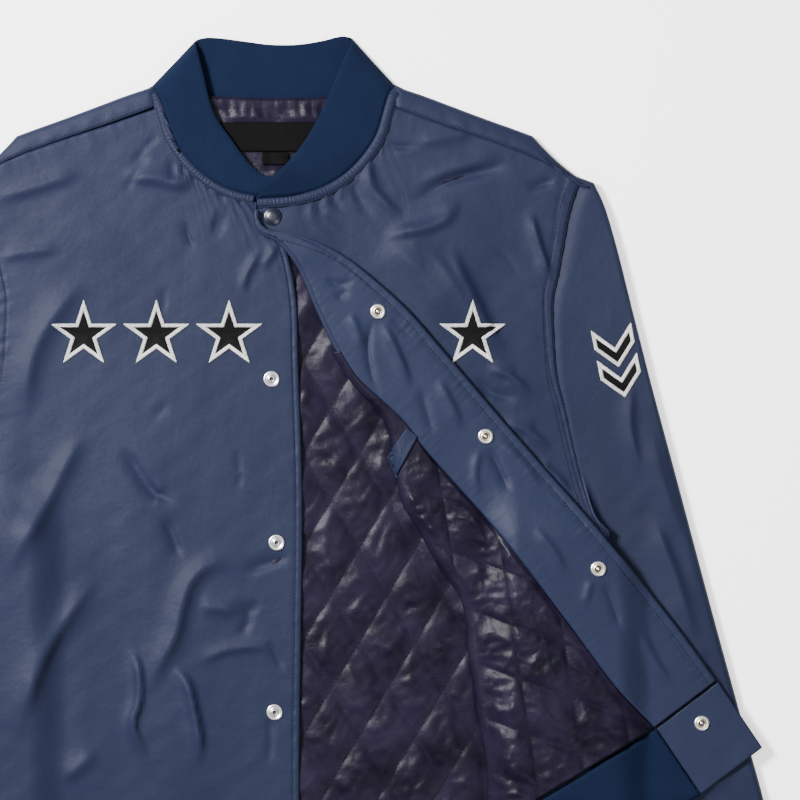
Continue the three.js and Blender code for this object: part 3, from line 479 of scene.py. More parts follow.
# Fronts: routes of the folds, their width, height and skew
rightCreases = [
    ([(-122, 256), (-96, 256), (-74, 252), (-62, 260)], 7, 2.2, 2.2),
    ([(-92, 293), (-105, 277), (-116, 262)], 1.8, -1.3, 1),
    ([(-99, 281), (-110, 262), (-119, 245)], 2, -1.4, 1),
    ([(-96, 289), (-108, 268), (-118, 252)], 2, 1.0, 1),
    ([(-82, 273), (-79, 252)], 2.6, -1.2, 1.5),
    ([(-74, 272), (-72, 258)], 1.6, -0.9, 1),
    ([(-66, 266), (-63, 254)], 2.2, -1.3, 1),
    ([(-60, 268), (-55, 257), (-50, 246)], 2, -1.3, 1.4),
    ([(-46, 262), (-44, 250), (-40, 237)], 2.8, -1.3, 1),
    ([(-38, 256), (-32, 246), (-26, 234)], 1.6, -1.0, 1),
    ([(-71, 222), (-68, 210), (-63, 200)], 3, -1.0, 2),
    ([(-10, 199), (-21, 181), (-26, 164)], 3.2, 1.8, 2),
    ([(4, 203), (-3, 194), (-9, 183)], 3, 1.6, 2),
    ([(-88, 172), (-89, 146)], 1.6, -0.6, 1),
    ([(-50, 222), (-38, 218)], 7, -1.0, 1),
    ([(-122, 44), (-108, 24), (-95, 6), (-76, -3)], 5, -2.2, 2.0),
    ([(-88, -12), (-81, -28), (-74, -48)], 4, -1.6, 1.6),
    ([(13, -44), (-8, -52), (-26, -56)], 4, -1.6, 1.5),
    ([(-24, -54), (-48, -51), (-64, -62), (-73, -84), (-78, -106), (-90, -130), (-103, -160)], 8, 3.0, 1.7),
    ([(-62, -86), (-40, -87), (-28, -92)], 8, 1.6, 1.8),
    ([(-24, -79), (-21, -96), (-30, -109)], 3.2, -1.5, 1),
    ([(-14, -80), (-19, -92)], 2.6, -0.9, 1),
    ([(-6, -111), (1, -123), (8, -138)], 1.5, -1.4, 1),
    ([(-61, -131), (-38, -120), (-8, -118), (2, -126)], 5, 1.6, 2),
    ([(-118, -112), (-108, -132), (-107, -160), (-112, -178), (-99, -210)], 4.5, 3.0, 2.4),
    ([(-84, -130), (-70, -143), (-63, -168), (-59, -192), (-61, -216)], 5, 3.2, 2.2),
    ([(-4, -171), (-3, -192), (-5, -211)], 1.8, -1.2, 1),
    ([(-30, 40), (-27, 20)], 1.8, -0.7, 1),
    ([(-26, 22), (-30, 10)], 1.4, -0.7, 1),
    ([(-98, 64), (-84, 78)], 3, -0.7, 1),
    ([(-150, 180), (-190, 120), (-200, 60)], 10, 2.4, 1.6),
    ([(-150, 60), (-190, -20), (-215, -60)], 9, 2.6, 1.6),
    ([(-140, -60), (-180, -120), (-205, -190)], 9, 3.0, 1.8),
    ([(-150, 262), (-200, 246), (-228, 240)], 6, 1.6, 1.6),
    ([(-170, 200), (-205, 196), (-222, 190)], 5, 1.4, 1.5),
    ([(-140, -200), (-170, -225)], 7, 1.8, 1.5),
]
leftCreases = [
    ([(84, 214), (104, 196), (128, 166), (152, 134)], 12, 3.0, 0.55),
    ([(74, 274), (78, 252), (90, 237), (104, 226)], 4.6, 2.4, 2.6),
    ([(62, 259), (68, 240), (79, 223)], 2.4, -1.4, 1.4),
    ([(106, 236), (117, 242), (136, 254), (164, 262), (190, 270)], 3.4, -2.4, 1.0),
    ([(112, 248), (136, 260), (164, 269), (188, 276)], 5, 1.4, 1.6),
    ([(86, 208), (100, 212), (124, 217), (139, 225), (146, 242)], 5.5, 2.6, 2.4),
    ([(139, 206), (148, 184), (160, 160), (172, 136), (185, 118)], 7, 2.4, 1.9),
    ([(116, 206), (134, 186), (150, 160), (166, 132), (186, 104)], 9, 1.8, 1.5),
    ([(204, 232), (209, 212), (216, 190), (222, 172)], 4.5, 1.9, 2.2),
    ([(202, 246), (214, 252), (224, 254)], 3, -1.5, 1.6),
    ([(84, 285), (96, 282), (116, 282)], 1.8, -1.2, 1),
    ([(112, 284), (134, 288), (162, 294)], 6, 1.6, 2),
    ([(42, 254), (46, 242), (56, 232)], 2, -1.3, 1),
    ([(30, 244), (36, 232), (40, 226)], 1.8, -1.2, 1),
    ([(52, 262), (54, 250)], 1.8, -1.0, 1),
    ([(176, 204), (186, 192), (196, 180)], 1.3, -0.7, 1),
    ([(168, 104), (186, 100), (206, 84)], 5, 1.7, 1.8),
    ([(160, 100), (176, 84), (196, 82)], 4, -1.4, 1.4),
    ([(178, 62), (200, 56), (222, 40)], 5, 1.6, 1.8),
    ([(206, 30), (222, 22), (238, 4)], 4.5, 1.5, 1.8),
]


hemPull = (hem + 22, hem)  # where the cloth is drawn down to the rib
fineStep = 0.9


# Shares of a width, finer beside both edges
def shares(width, first, last, step):
    middle = np.linspace(first, width - last, round((width - first - last) / step))
    near, far = np.arange(0, first, fineStep), np.arange(0, last, fineStep)
    return np.concatenate([near, middle, width - far[::-1]]) / width


def frontPlan(surface, left, right, rows, base, flatTop):
    v = np.linspace(0, 1, rows)
    width = np.linalg.norm(right(v) - left(v), axis=-1)
    reach = jacket["sideRadius"] / width
    turn = np.radians([15, 30, 45, 60, 75, 90])
    angle = np.concatenate([np.zeros(len(base)), turn])
    flat = np.concatenate([base, np.ones(len(turn))])
    u = (1 - reach[:, None]) * flat[None] + reach[:, None] * np.sin(angle)[None]
    grid = surface(u, np.repeat(v[:, None], u.shape[1], axis=1))
    grid[..., 1] -= jacket["hemLap"] * ease(*hemPull, grid[..., 1])
    rounds = 1 - ease(jacket["sideShare"] - 0.01, jacket["sideShare"] + 0.05, v)
    drop = (flatTop - level["sideSeam"]) * rounds[:, None] * (1 - np.cos(angle))[None]
    return grid, drop, u, v


neckPucker = jitter(11, 7, 4, 15)
armPucker = jitter(12, 7, 4, 20)
edgePucker = jitter(13, 6, 4, 22)
shellGround = waves(21, 9, 45, 150)
shellFine = waves(22, 8, 16, 40)
seamLook = {
    "neck": 1.15, "neckReach": 24, "yoke": 0.4, "yokeReach": 8, "sharp": 1.5,
    "arm": 0.55, "armReach": 7, "armStitch": 8.4, "armGroove": 0.5, "armSeam": 0.8,
    "edge": 0.3, "edgeReach": 4, "edgeStitch": 5.4, "edgeGroove": 0.45, "edgeRound": 0.9, "edgeSharp": 1.8,
    "neckLength": 260, "armLength": 560, "edgeLength": 520,
}


# Puckers that run out from the neck seam, the armhole and the front edge
def seamRelief(u, v, width, height):
    look = seamLook
    up = (1 - v) * height
    out = (1 - u) * width
    inward = u * width
    neck = ease(jacket["neckShare"] + 0.06, jacket["neckShare"] - 0.06, u)
    neckWave = np.tanh(look["sharp"] * neckPucker(u * look["neckLength"] + up * 0.12))
    relief = neck * neckWave * look["neck"] * np.exp(-up / look["neckReach"]) * ease(2, 9, up)
    yokeWave = np.tanh(look["sharp"] * armPucker(u * look["neckLength"]))
    yoke = (1 - neck) * look["yoke"] * yokeWave * np.exp(-up / look["yokeReach"])
    arm = ease(jacket["sideShare"], jacket["sideShare"] + 0.1, v)
    armWave = np.tanh(look["sharp"] * armPucker(v * look["armLength"] + out * 0.2))
    relief += yoke + arm * armWave * look["arm"] * np.exp(-np.abs(out - 5) / look["armReach"])
    groove = look["armGroove"] * np.exp(-((out - look["armStitch"]) / 1.1) ** 2)
    relief -= arm * (groove + look["armSeam"] * np.exp(-(out / 1.2) ** 2))
    edgeWave = np.tanh(look["edgeSharp"] * edgePucker(v * look["edgeLength"]))
    relief += edgeWave * look["edge"] * np.exp(-np.abs(inward - 4) / look["edgeReach"])
    relief -= look["edgeGroove"] * np.exp(-((inward - look["edgeStitch"]) / 1.0) ** 2)
    relief -= look["edgeRound"] * np.exp(-(inward / 1.1) ** 2)
    return relief


rightSettings = {
    "neckFrom": 0.13, "neckDown": 0.5, "width": 275, "height": 560, "rows": 205, "thick": 1.1,
    "fine": (11, 14), "step": 2.7, "ground": 0.4, "fineGround": 0.16,
}


def rightFront():
    own = rightSettings

    def neck(t):
        place = neckline(lerp(own["neckFrom"], 1, np.asarray(t, float)))
        return place * np.array([-1, 1]) - np.array([0, own["neckDown"]])

    def bottom(t):
        x = lerp(20, -jacket["hemHalf"], np.asarray(t, float))
        return np.stack([x, np.full(np.shape(t), float(hem))], -1)

    top = joined(neck, mirrored(shoulderSeam), jacket["neckShare"])
    right = joined(mirrored(sideSeam), mirrored(frontArmhole), jacket["sideShare"])
    surface = patch(bottom, top, rightEdge, right)
    base = shares(own["width"], *own["fine"], own["step"])
    plan, drop, u, v = frontPlan(surface, rightEdge, right, own["rows"], base, level["front"])
    x, y = plan[..., 0], plan[..., 1]
    flat = ease(0, 0.02, u) * ease(1, 0.97, u)
    z = level["front"] + lift(x, y) + foldRise(x, y) - drop
    ground = own["ground"] * shellGround(x, y) + own["fineGround"] * shellFine(x, y)
    z += flat * (strokes(x, y, rightCreases) + ground)
    z += seamRelief(u, v[:, None], own["width"], own["height"])
    return makeWall("rightFrontCloth", withZ(plan, z), own["thick"], taffeta)


rightFrontCloth = rightFront()


# The turned layer in plan: its lined part, then its faced part
def turnedPlan(v, lined, faced):
    fold, inner, edge = foldLine(v), facingEdge(v), turnedEdge(v)
    a = lerp(fold[:, None], inner[:, None], np.linspace(0, 1, lined)[None, :, None])
    b = lerp(inner[:, None], edge[:, None], np.linspace(0, 1, faced)[None, :, None])
    return a, b


leftSettings = {
    "neckX": -14, "neckDown": 0.5, "width": 170, "fine": (2, 14), "step": 2.2, "rows": 210,
    "seamWidth": 240, "height": 560, "thick": 1.1, "bend": 0.55, "clear": (-4, 18),
    "lined": 10, "faced": 8, "ground": 0.4, "fineGround": 0.16,
}


def leftFront():
    own = leftSettings

    def neck(t):
        t = np.asarray(t, float)
        place = neckline(t)
        x = lerp(own["neckX"], place[..., 0], ease(0, 0.2, t))
        return np.stack([x, place[..., 1] - own["neckDown"]], -1)

    def bottom(t):
        x = lerp(jacket["foldFoot"], jacket["hemHalf"], np.asarray(t, float))
        return np.stack([x, np.full(np.shape(t), float(hem))], -1)

    top = joined(neck, shoulderSeam, jacket["neckShare"])
    right = joined(sideSeam, frontArmhole, jacket["sideShare"])
    surface = patch(bottom, top, foldLine, right)
    base = shares(own["width"], *own["fine"], own["step"])
    plan, drop, u, v = frontPlan(surface, foldLine, right, own["rows"], base, level["leftFront"])
    x, y = plan[..., 0], plan[..., 1]
    edge = turnedEdge(v)[:, None]
    clear = ease(*own["clear"], x - edge[..., 0])
    z = level["leftFront"] + lift(x, y) + foldRise(x, y) + overRight(x, y) - drop
    ground = own["ground"] * shellGround(x, y)
    relief = strokes(x, y, leftCreases) + ground + own["fineGround"] * shellFine(x, y)
    z += clear * ease(1, 0.97, u) * relief
    z += clear * seamRelief(u, v[:, None], own["seamWidth"], own["height"])
    lower = withZ(plan, z)[:, ::-1]
    half = own["bend"]
    start = lower[:, -1]
    bend = []
    for a in np.radians([30, 60, 90, 120, 150]):
        step = (-half * math.sin(a), 0, half * (1 - math.cos(a)))
        bend.append(start + np.array(step))
    lined, faced = turnedPlan(v, own["lined"], own["faced"])
    upperPlan = np.concatenate([lined, faced[:, 1:]], axis=1)
    upper = withZ(upperPlan, level["turned"] + turnedRise(upperPlan[..., 0], upperPlan[..., 1]))
    grid = np.concatenate([lower, np.stack(bend, 1), upper], axis=1)
    return makeWall("leftFrontCloth", grid, own["thick"], taffeta)


leftFrontCloth = leftFront()

facingCreases = [
    ([(80, 145), (76, 134), (75, 116), (78, 100), (85, 80)], 2.6, -1.5, 1.3),
    ([(86, 143), (96, 122), (105, 100), (109, 88)], 4.2, 1.8, 2.0),
    ([(92, 146), (112, 128)], 2.6, -0.9, 1),
    ([(60, 150), (66, 136), (70, 118)], 4, 1.2, 1.6),
    ([(60, 168), (48, 160)], 3, -0.8, 1),
    ([(130, 98), (142, 74), (150, 56)], 4.5, 1.5, 1.8),
    ([(116, 92), (122, 70), (128, 50)], 4, -1.2, 1.4),
    ([(170, 44), (180, 24), (188, 4)], 3.6, -1.5, 1.4),
    ([(164, 42), (160, 22), (163, 2)], 3.4, 1.2, 1.6),
    ([(176, 50), (198, 30), (214, 6)], 4, 1.2, 1.7),
    ([(206, -20), (222, -40), (232, -60)], 4, 1.2, 1.6),
    ([(260, -60), (270, -84), (276, -106)], 3.6, -1.4, 1.3),
    ([(252, -62), (246, -84)], 3.2, 1.1, 1.6),
    ([(290, -100), (304, -130), (318, -150)], 4.5, 1.4, 1.6),
    ([(40, 178), (50, 172), (66, 176)], 3, -0.9, 1),
]
facingPucker = jitter(31, 7, 6, 22)


facingSettings = {
    "rows": 350, "columns": 36, "up": 1.3, "length": 640, "thick": 1.2, "ground": 0.45,
    "stitch": 0.89, "stitchPucker": 0.45, "stitchReach": 0.09, "groove": 0.5, "grooveHalf": 0.022,
    "innerPucker": 0.4, "innerReach": 0.12, "bulge": 0.5, "roundness": 0.6, "finer": 1.6,
}


def leftFacing():
    own = facingSettings
    v = np.linspace(0, 1, own["rows"])
    _, plan = turnedPlan(v, 4, own["columns"])
    x, y = plan[..., 0], plan[..., 1]
    across = np.linspace(0, 1, own["columns"])[None]
    body = np.sin(math.pi * across) ** own["roundness"]
    z = level["facing"] + own["up"] + turnedRise(x, y)
    ground = own["ground"] * shellGround(x * own["finer"], y * own["finer"])
    z += body * (strokes(x, y, facingCreases) + ground + own["bulge"])
    length = v[:, None] * own["length"]
    seam = np.exp(-np.abs(across - own["stitch"]) / own["stitchReach"])
    z += own["stitchPucker"] * facingPucker(length) * seam * body
    z -= own["groove"] * np.exp(-((across - own["stitch"]) / own["grooveHalf"]) ** 2)
    inner = own["innerPucker"] * facingPucker(length + 90) * np.exp(-across / own["innerReach"])
    z += inner * body
    return makeWall("leftFacingCloth", withZ(plan, z), own["thick"], facingTaffeta)


leftFacingCloth = leftFacing()
print("fronts made")

# Linings
liningCrumple = crumple(41, 6, 22, 44)
liningFine = crumple(42, 6, 9, 20)
liningGround = waves(43, 8, 40, 120)
foldFoot = np.array([jacket["foldFoot"], hem], float)
turnedAcross, turnedAxis = np.array([0.768, 0.64]), np.array([0.64, -0.768])
puffLook = {"sharp": 0.45, "large": 5.2, "fine": 3.0, "flat": 1.5, "folded": 0.95, "ground": 0.35}


# Quilted puffs with crumpled satin over the wadding
def puffs(x, y):
    swell = quiltPuff(x, y, puffLook["sharp"])
    folds = liningCrumple(x, y) * puffLook["large"] + liningFine(x, y) * puffLook["fine"]
    return swell * (puffLook["flat"] + puffLook["folded"] * folds) + puffLook["ground"] * liningGround(x, y)


leftLiningSettings = {
    "shares": (0.002, 0.745), "rows": 240, "columns": 80, "insets": (10, 6, 3), "bend": 1.3,
    "below": 2.1, "above": 1.2, "layer": 1.2, "thick": 0.9, "pull": 0.8,
}


def leftLining():
    own = leftLiningSettings
    v = np.linspace(*own["shares"], own["rows"])
    lined, _ = turnedPlan(v, own["columns"], 4)
    across = np.linspace(0, 1, own["columns"])[None]
    fold = foldLine(v)
    under = level["leftFront"] - own["below"]
    top = level["facing"] + own["above"]
    half = (top - under) / 2
    beneath = []
    for inset in own["insets"]:
        x, y = fold[:, 0] + inset, fold[:, 1]
        beneath.append(np.stack([x, y, under - own["layer"] + lift(x, y) + foldRise(x, y)], -1))
    bend = []
    for a in np.radians([20, 50, 80, 110, 140, 165]):
        x, y = fold[:, 0] - own["bend"] - half * math.sin(a), fold[:, 1]
        rise = lift(fold[:, 0], y) + foldRise(fold[:, 0], y)
        bend.append(np.stack([x, y, under - own["layer"] + rise + half * (1 - math.cos(a))], -1))
    x, y = lined[..., 0], lined[..., 1]
    room = ease(8, 50, np.linalg.norm(facingEdge(v) - fold, axis=-1))[:, None]
    p, q = (lined - foldFoot) @ turnedAcross, (lined - foldFoot) @ turnedAxis
    body = ease(-0.02, 0.14, across) * ease(1.0, 0.93, across) * room
    z = top + turnedRise(x, y) + body * puffs(p, q) + 0.3 * room
    above = withZ(np.stack([x - own["pull"] * across, y], -1), z)
    grid = np.concatenate([np.stack(beneath, 1), np.stack(bend, 1), above], axis=1)
    return makeWall("leftLiningCloth", grid, own["thick"], liningCloth)


leftLiningCloth = leftLining()


# Half width of the back at a height
def edgeAt(y):
    t = np.linspace(0, 1, 200)
    points = np.concatenate([sideSeam(t), backArmhole(t)])
    return np.interp(y, points[:, 1], points[:, 0])


# Where the shoulder turns forward
def foldAt(x):
    points = shoulderFold(np.linspace(0, 1, 200))
    return np.interp(np.abs(x), points[:, 0], points[:, 1])


back = {
    "half": 255, "straight": 225.0, "height": 560, "inner": 0.8, "shares": (0.16, 0.84),
    "wrap": (90, 96), "neckHalf": 93,
}


# The back in plan: straight columns inside, the last ones running out to the side and armhole.
# Most of the columns lie between the two shares shown.
def backPlan(columns, rows, neckY, shown=(-0.68, 0.68)):
    low, high = back["shares"]
    c = np.interp(np.linspace(0, 1, columns), [0, low, high, 1], [-1, shown[0], shown[1], 1])
    c = c[None].repeat(rows, 0)
    r = np.linspace(0, 1, rows)[:, None].repeat(columns, 1)
    lowShare = (back["straight"] - hem) / back["height"]
    y = lerp(hem, back["straight"], np.clip(r / lowShare, 0, 1))
    rest = np.clip((r - lowShare) / (1 - lowShare), 0, 1)
    inner = c * back["half"]
    wrap = ease(*back["wrap"], np.abs(inner))
    limit = lerp(neckY(inner), foldAt(inner) - jacket["shoulderRadius"], wrap)
    edgeTop = jacket["foldTip"][1] - jacket["shoulderRadius"]
    out = np.clip((np.abs(c) - back["inner"]) / (1 - back["inner"]), 0, 1)
    limit = lerp(limit, edgeTop, out)
    y = np.where(r > lowShare, lerp(back["straight"], limit, rest), y)
    outer = np.sign(c) * lerp(back["inner"] * back["half"], edgeAt(y), out)
    return np.where(np.abs(c) < back["inner"], inner, outer), y


backSettings = {
    "columns": 111, "rows": 92, "neckY": 317, "neckRise": 9, "slant": 0.4, "seamBelow": 0.4,
    "above": 0.25, "bulge": 0.5, "thick": 1.1, "tipX": 243, "endX": 244,
}


def backShell():
    own = backSettings
    x, y = backPlan(own["columns"], own["rows"],
                    lambda c: own["neckY"] + own["neckRise"] * (c / back["neckHalf"]) ** 2)
    rows = [np.stack([x, y, lift(x, y)], -1)]
    top = rows[0][-1]
    radius = jacket["shoulderRadius"]
    ax = np.abs(top[:, 0])
    wrap = ease(*back["wrap"], ax)
    slant = np.sign(top[:, 0]) * own["slant"] * ease(100, 120, ax)
    for a in np.radians(np.linspace(15, 180, 12)):
        ahead = radius * math.sin(a) * wrap
        z = top[:, 2] + radius * (1 - math.cos(a)) * wrap
        rows.append(np.stack([top[:, 0] + slant * ahead, top[:, 1] + ahead, z], -1)[None])
    seam = shoulderSeam(np.linspace(0, 1, 200))
    seamY = np.interp(ax, seam[:, 0], seam[:, 1]) - own["seamBelow"]
    endX = np.where(ax > own["tipX"], np.sign(top[:, 0]) * own["endX"], top[:, 0])
    last = rows[-1][0]
    for t in np.linspace(0.12, 1, 8):
        x, y = lerp(last[:, 0], endX, t * wrap), lerp(last[:, 1], seamY, t * wrap)
        target = level["leftFront"] + own["above"] + foldRise(x, y)
        z = lerp(last[:, 2], lerp(last[:, 2], target, t), wrap)
        bulge = own["bulge"] + own["bulge"] * np.tanh(1.5 * armPucker(ax))
        z = z + wrap * bulge * np.sin(math.pi * t)
        rows.append(np.stack([x, y, z], -1)[None])
    return makeWall("backCloth", np.concatenate(rows), own["thick"], taffeta)


backCloth = backShell()


backLiningSettings = {
    "columns": 160, "rows": 205, "shown": (-0.22, 0.66), "inset": 12, "thick": 1.0, "layer": 1.2,
    "neckY": 320.8, "neckRise": 6, "seamY": 313.2, "seamRise": 5, "strip": 2.0, "gather": 0.5,
    "fan": 1.3, "fanReach": 12, "groove": 1.2, "ceiling": 7.2, "openCeiling": 9,
    "seenRight": (175, 150), "seenLeft": (-125, -105), "openFrom": (20, 38), "openTo": (4, -16),
    "labelLeft": (-48, -42), "labelRight": (42, 36), "labelLow": (262, 270), "labelHigh": (305, 300),
}


# Seam of the lining across the neck behind
def liningSeamY(x):
    return backLiningSettings["seamY"] + backLiningSettings["seamRise"] * (x / back["neckHalf"]) ** 2


def backLining():
    own = backLiningSettings
    x, y = backPlan(own["columns"], own["rows"],
                    lambda c: own["neckY"] + own["neckRise"] * (c / back["neckHalf"]) ** 2, own["shown"])
    limit = edgeAt(y) - own["inset"]
    x = np.where(np.abs(x) > limit, np.sign(x) * limit, x)
    y = y - np.where((y > 226) & (np.abs(x) > 84), (y - 226) * 0.16, 0)
    y = y - jacket["hemLap"] * ease(*hemPull, y)
    shown = ease(*own["seenRight"], x) * ease(*own["seenLeft"], x)
    label = ease(*own["labelLeft"], x) * ease(*own["labelRight"], x)
    label = label * ease(*own["labelLow"], y) * ease(*own["labelHigh"], y)
    seam = liningSeamY(x)
    strip = ease(seam - 0.6, seam + 1.6, y)
    gather = jitter(44, 6, 2.2, 5)(x + 0.15 * y)
    fan = jitter(45, 6, 4, 13)(x + 0.3 * y) * np.exp(-np.clip(seam - y, 0, None) / own["fanReach"])
    base = level["lining"] + own["layer"] + lift(x, y)
    z = base + shown * (1 - strip) * (1 - label) * ease(hem, hem + 12, y) * puffs(x, y)
    z += shown * (1 - label) * (1 - strip) * own["fan"] * fan
    z += shown * strip * (own["strip"] + own["gather"] * gather)
    z -= own["groove"] * np.exp(-((y - seam + 0.8) / 1.3) ** 2) * shown
    fold = foldLine(np.linspace(0, 1, 300))[::-1]
    foldX = np.interp(-y, -fold[:, 1], fold[:, 0])
    openPart = ease(*own["openFrom"], x) * ease(*own["openTo"], x - foldX)
    ceiling = own["ceiling"] + lift(x, y) + own["openCeiling"] * openPart
    z = np.where(y < 228, np.minimum(z, ceiling), z)
    return makeWall("backLiningCloth", np.stack([x, y, z], -1), own["thick"], liningCloth)


backLiningCloth = backLining()
print("linings and back made")

# Sleeves: rings from the armhole to the cuff; outer x, y, inner x, y, bow, rise
sleeveRings = np.array([
    (254.6, 253.6, 266.4, -28.5, 1, 1), (262.5, 237, 264.6, -31, 0.84, 0.75),
    (272, 206, 262.6, -34.5, 0.6, 0.5), (286.9, 147, 260.6, -39, 0.34, 0.3),
    (302, 88, 259, -45, 0.14, 0.1), (319.2, 24, 258, -53, 0, 0),
    (332, -24, 257, -66, 0, 0), (341, -58, 252, -88, 0, 0), (346.6, -79, 234, -120, 0, 0),
    (354.2, -107, 220, -158, 0, 0), (366, -150, 220, -200, 0, 0), (379, -198, 238, -236, 0, 0),
    (390, -238, 267, -270, 0, 0), (399, -282, 300, -308.5, 0, 0),
])


# Rings of a tube that lies flat: along the top, round the outer edge, back below, round again
def flatRings(inner, outer, high, topBow, bottomBow, steps, corner):
    radius = high / 2
    d = outer - inner
    length = np.linalg.norm(d, axis=-1, keepdims=True)
    t = np.linspace(0, 1, steps)
    share = radius / length
    along = share + (1 - 2 * share) * t[None]
    line = inner[:, None] + d[:, None] * along[..., None]
    top = withZ(line + topBow, np.full(along.shape, high))
    bottom = withZ(line + bottomBow, np.zeros(along.shape))[:, ::-1]
    a = np.linspace(0, math.pi, corner + 2)[1:-1]

    def rounded(end, sign):
        out = sign * (radius * np.sin(a) - radius)[None, :, None] / length[:, None]
        place = end[:, None] + d[:, None] * out
        turn = radius + sign * radius * np.cos(a)
        return withZ(place, np.repeat(turn[None], len(end), 0))
    return np.concatenate([top, rounded(outer, 1), bottom, rounded(inner, -1)], axis=1), t


sleeveCreases = [
    ([(262, 246), (254, 226), (246, 200)], 4, -2.2, 1.4),
    ([(270, 224), (276, 190), (282, 160)], 7, 2.0, 1.6),
    ([(262, 196), (264, 160), (268, 130)], 6, 2.4, 2.0),
    ([(286, 96), (284, 60), (292, 20)], 6, 1.8, 1.8),
    ([(300, 60), (312, 10), (330, -40)], 9, 2.4, 1.6),
    ([(318, 30), (334, -30), (346, -90)], 7, 1.8, 1.8),
    ([(300, -10), (320, -60), (338, -120)], 8, 2.6, 1.8),
    ([(346, -110), (330, -150), (352, -190)], 7, 2.2, 1.6),
    ([(300, -240), (340, -230), (372, -214)], 7, 2.0, 1.8),
    ([(330, -262), (360, -256), (382, -250)], 6, 1.8, 1.5),
]


sleeveSettings = {
    "steps": 58, "corner": 9, "bowScale": 40, "thick": 1.1, "under": 6, "underZ": 7.0,
    "tucks": (1.0, 0.84, 0.68, 0.5, 0.34, 0.17), "ground": 0.6, "fineGround": 0.2,
    "pleat": 4.6, "pleatAt": 11, "pleatWidth": 6.5, "pucker": 0.7, "puckerReach": 20, "gathers": 0.9,
    "clear": (-4, 14), "cuffReach": 24, "backFollow": 0.08,
}


def sleeve(side, name, rows):
    own = sleeveSettings
    k = smoothRows(sleeveRings * np.array([1, 1, 1, 1, own["bowScale"], 1]), rows)
    bow, rise = np.clip(k[:, 4] / own["bowScale"], 0, 1), np.clip(k[:, 5], 0, 1)
    steps, corner = own["steps"], own["corner"]
    t = np.linspace(0, 1, steps)

    def bowOf(curve):
        places = curve(t)
        line = lerp(curve(0.0), curve(1.0), t[:, None])
        return bow[:, None, None] * (places - line)[None]

    bows = (bowOf(frontArmhole), bowOf(backArmhole))
    grid, _ = flatRings(k[:, 2:4], k[:, 0:2], level["sleeve"], *bows, steps, corner)
    arm = frontArmhole(t)
    armLift = lift(arm[:, 0], arm[:, 1])
    ends = np.full(corner, armLift[-1]), np.full(corner, armLift[0])
    tail = np.concatenate([armLift, ends[0], armLift[::-1], ends[1]])
    grid[..., 2] += rise[:, None] * tail[None]
    x, y = grid[:, :steps, 0], grid[:, :steps, 1]
    move = np.diff(grid[:, :steps, :2], axis=0, prepend=grid[:1, :steps, :2])
    seamDistance = np.cumsum(np.linalg.norm(move, axis=-1), axis=0)
    body = np.sin(math.pi * np.clip(t, 0, 1))[None] ** 0.5
    visible = ease(*own["clear"], x - np.interp(y, sideSeam(t)[:, 1], sideSeam(t)[:, 0]))
    relief = strokes(x, y, sleeveCreases) + own["ground"] * shellGround(x, y)
    relief += own["fineGround"] * shellFine(x, y)
    pleat = own["pleat"] * np.exp(-((seamDistance - own["pleatAt"]) / own["pleatWidth"]) ** 2)
    pleat = pleat * ease(0.05, 0.3, t)[None] * ease(1, 0.9, t)[None]
    pucker = own["pucker"] * armPucker(t[None] * 300 + 40 + seamDistance * 0.1)
    pucker = pucker * np.exp(-seamDistance / own["puckerReach"])
    end = ease(0, own["cuffReach"], seamDistance[-1:] - seamDistance)
    gathers = (1 - end) * own["gathers"] * neckPucker(t[None] * 100)
    grid[:, :steps, 2] += body * (visible * (relief * end + pleat) + pucker * visible + gathers)
    d = np.gradient(arm, axis=0)
    inward = np.stack([-d[:, 1], d[:, 0]], -1) / np.linalg.norm(d, axis=-1, keepdims=True)
    under = arm + inward * own["under"]
    tucks = []
    for share in own["tucks"]:
        row = grid[0].copy()
        shift = (under - row[:steps, :2]) * share
        row[:steps, :2] += shift
        row[:steps, 2] = lerp(row[:steps, 2], own["underZ"] + armLift, ease(0, 0.9, share))
        row[steps:steps + corner, :2] += shift[-1]
        row[2 * steps + corner:, :2] += shift[0]
        row[steps + corner:2 * steps + corner, :2] += shift[::-1] * own["backFollow"]
        tucks.append(row)
    grid = np.concatenate([np.stack(tucks), grid])
    grid[..., 0] *= side
    return makeWall(name, grid, side * own["thick"], taffeta, ring=True)


leftSleeveCloth = sleeve(1, "leftSleeveCloth", 145)
rightSleeveCloth = sleeve(-1, "rightSleeveCloth", 95)


cuffSettings = {
    "rows": 26, "steps": 50, "corner": 9, "gap": 0.4, "length": 65, "high": 9.6, "thick": 2.6,
    "pull": (3, 5), "bulge": 0.4,
}


def cuff(side, name):
    own = cuffSettings
    inner, outer = sleeveRings[-1, 2:4], sleeveRings[-1, 0:2]
    across = (outer - inner) / np.linalg.norm(outer - inner)
    down = np.array([across[1], -across[0]])
    t = np.linspace(0, 1, own["rows"])[:, None]
    pull = own["pull"][0] + own["pull"][1] * t
    a = inner + down * lerp(own["gap"], own["length"], t) + across * pull
    b = outer + down * lerp(own["gap"], own["length"], t) - across * pull
    steps = own["steps"]
    straight = np.zeros((own["rows"], steps, 2))
    grid, s = flatRings(a, b, own["high"], straight, straight, steps, own["corner"])
    grid[:, :steps, 2] += own["bulge"] * np.sin(math.pi * t) * np.sin(math.pi * s)[None]
    grid[..., 0] *= side
    return makeWall(name, grid, side * own["thick"], ribKnit, ring=True)


leftCuffKnit = cuff(1, "leftCuffKnit")
rightCuffKnit = cuff(-1, "rightCuffKnit")
print("sleeves made")

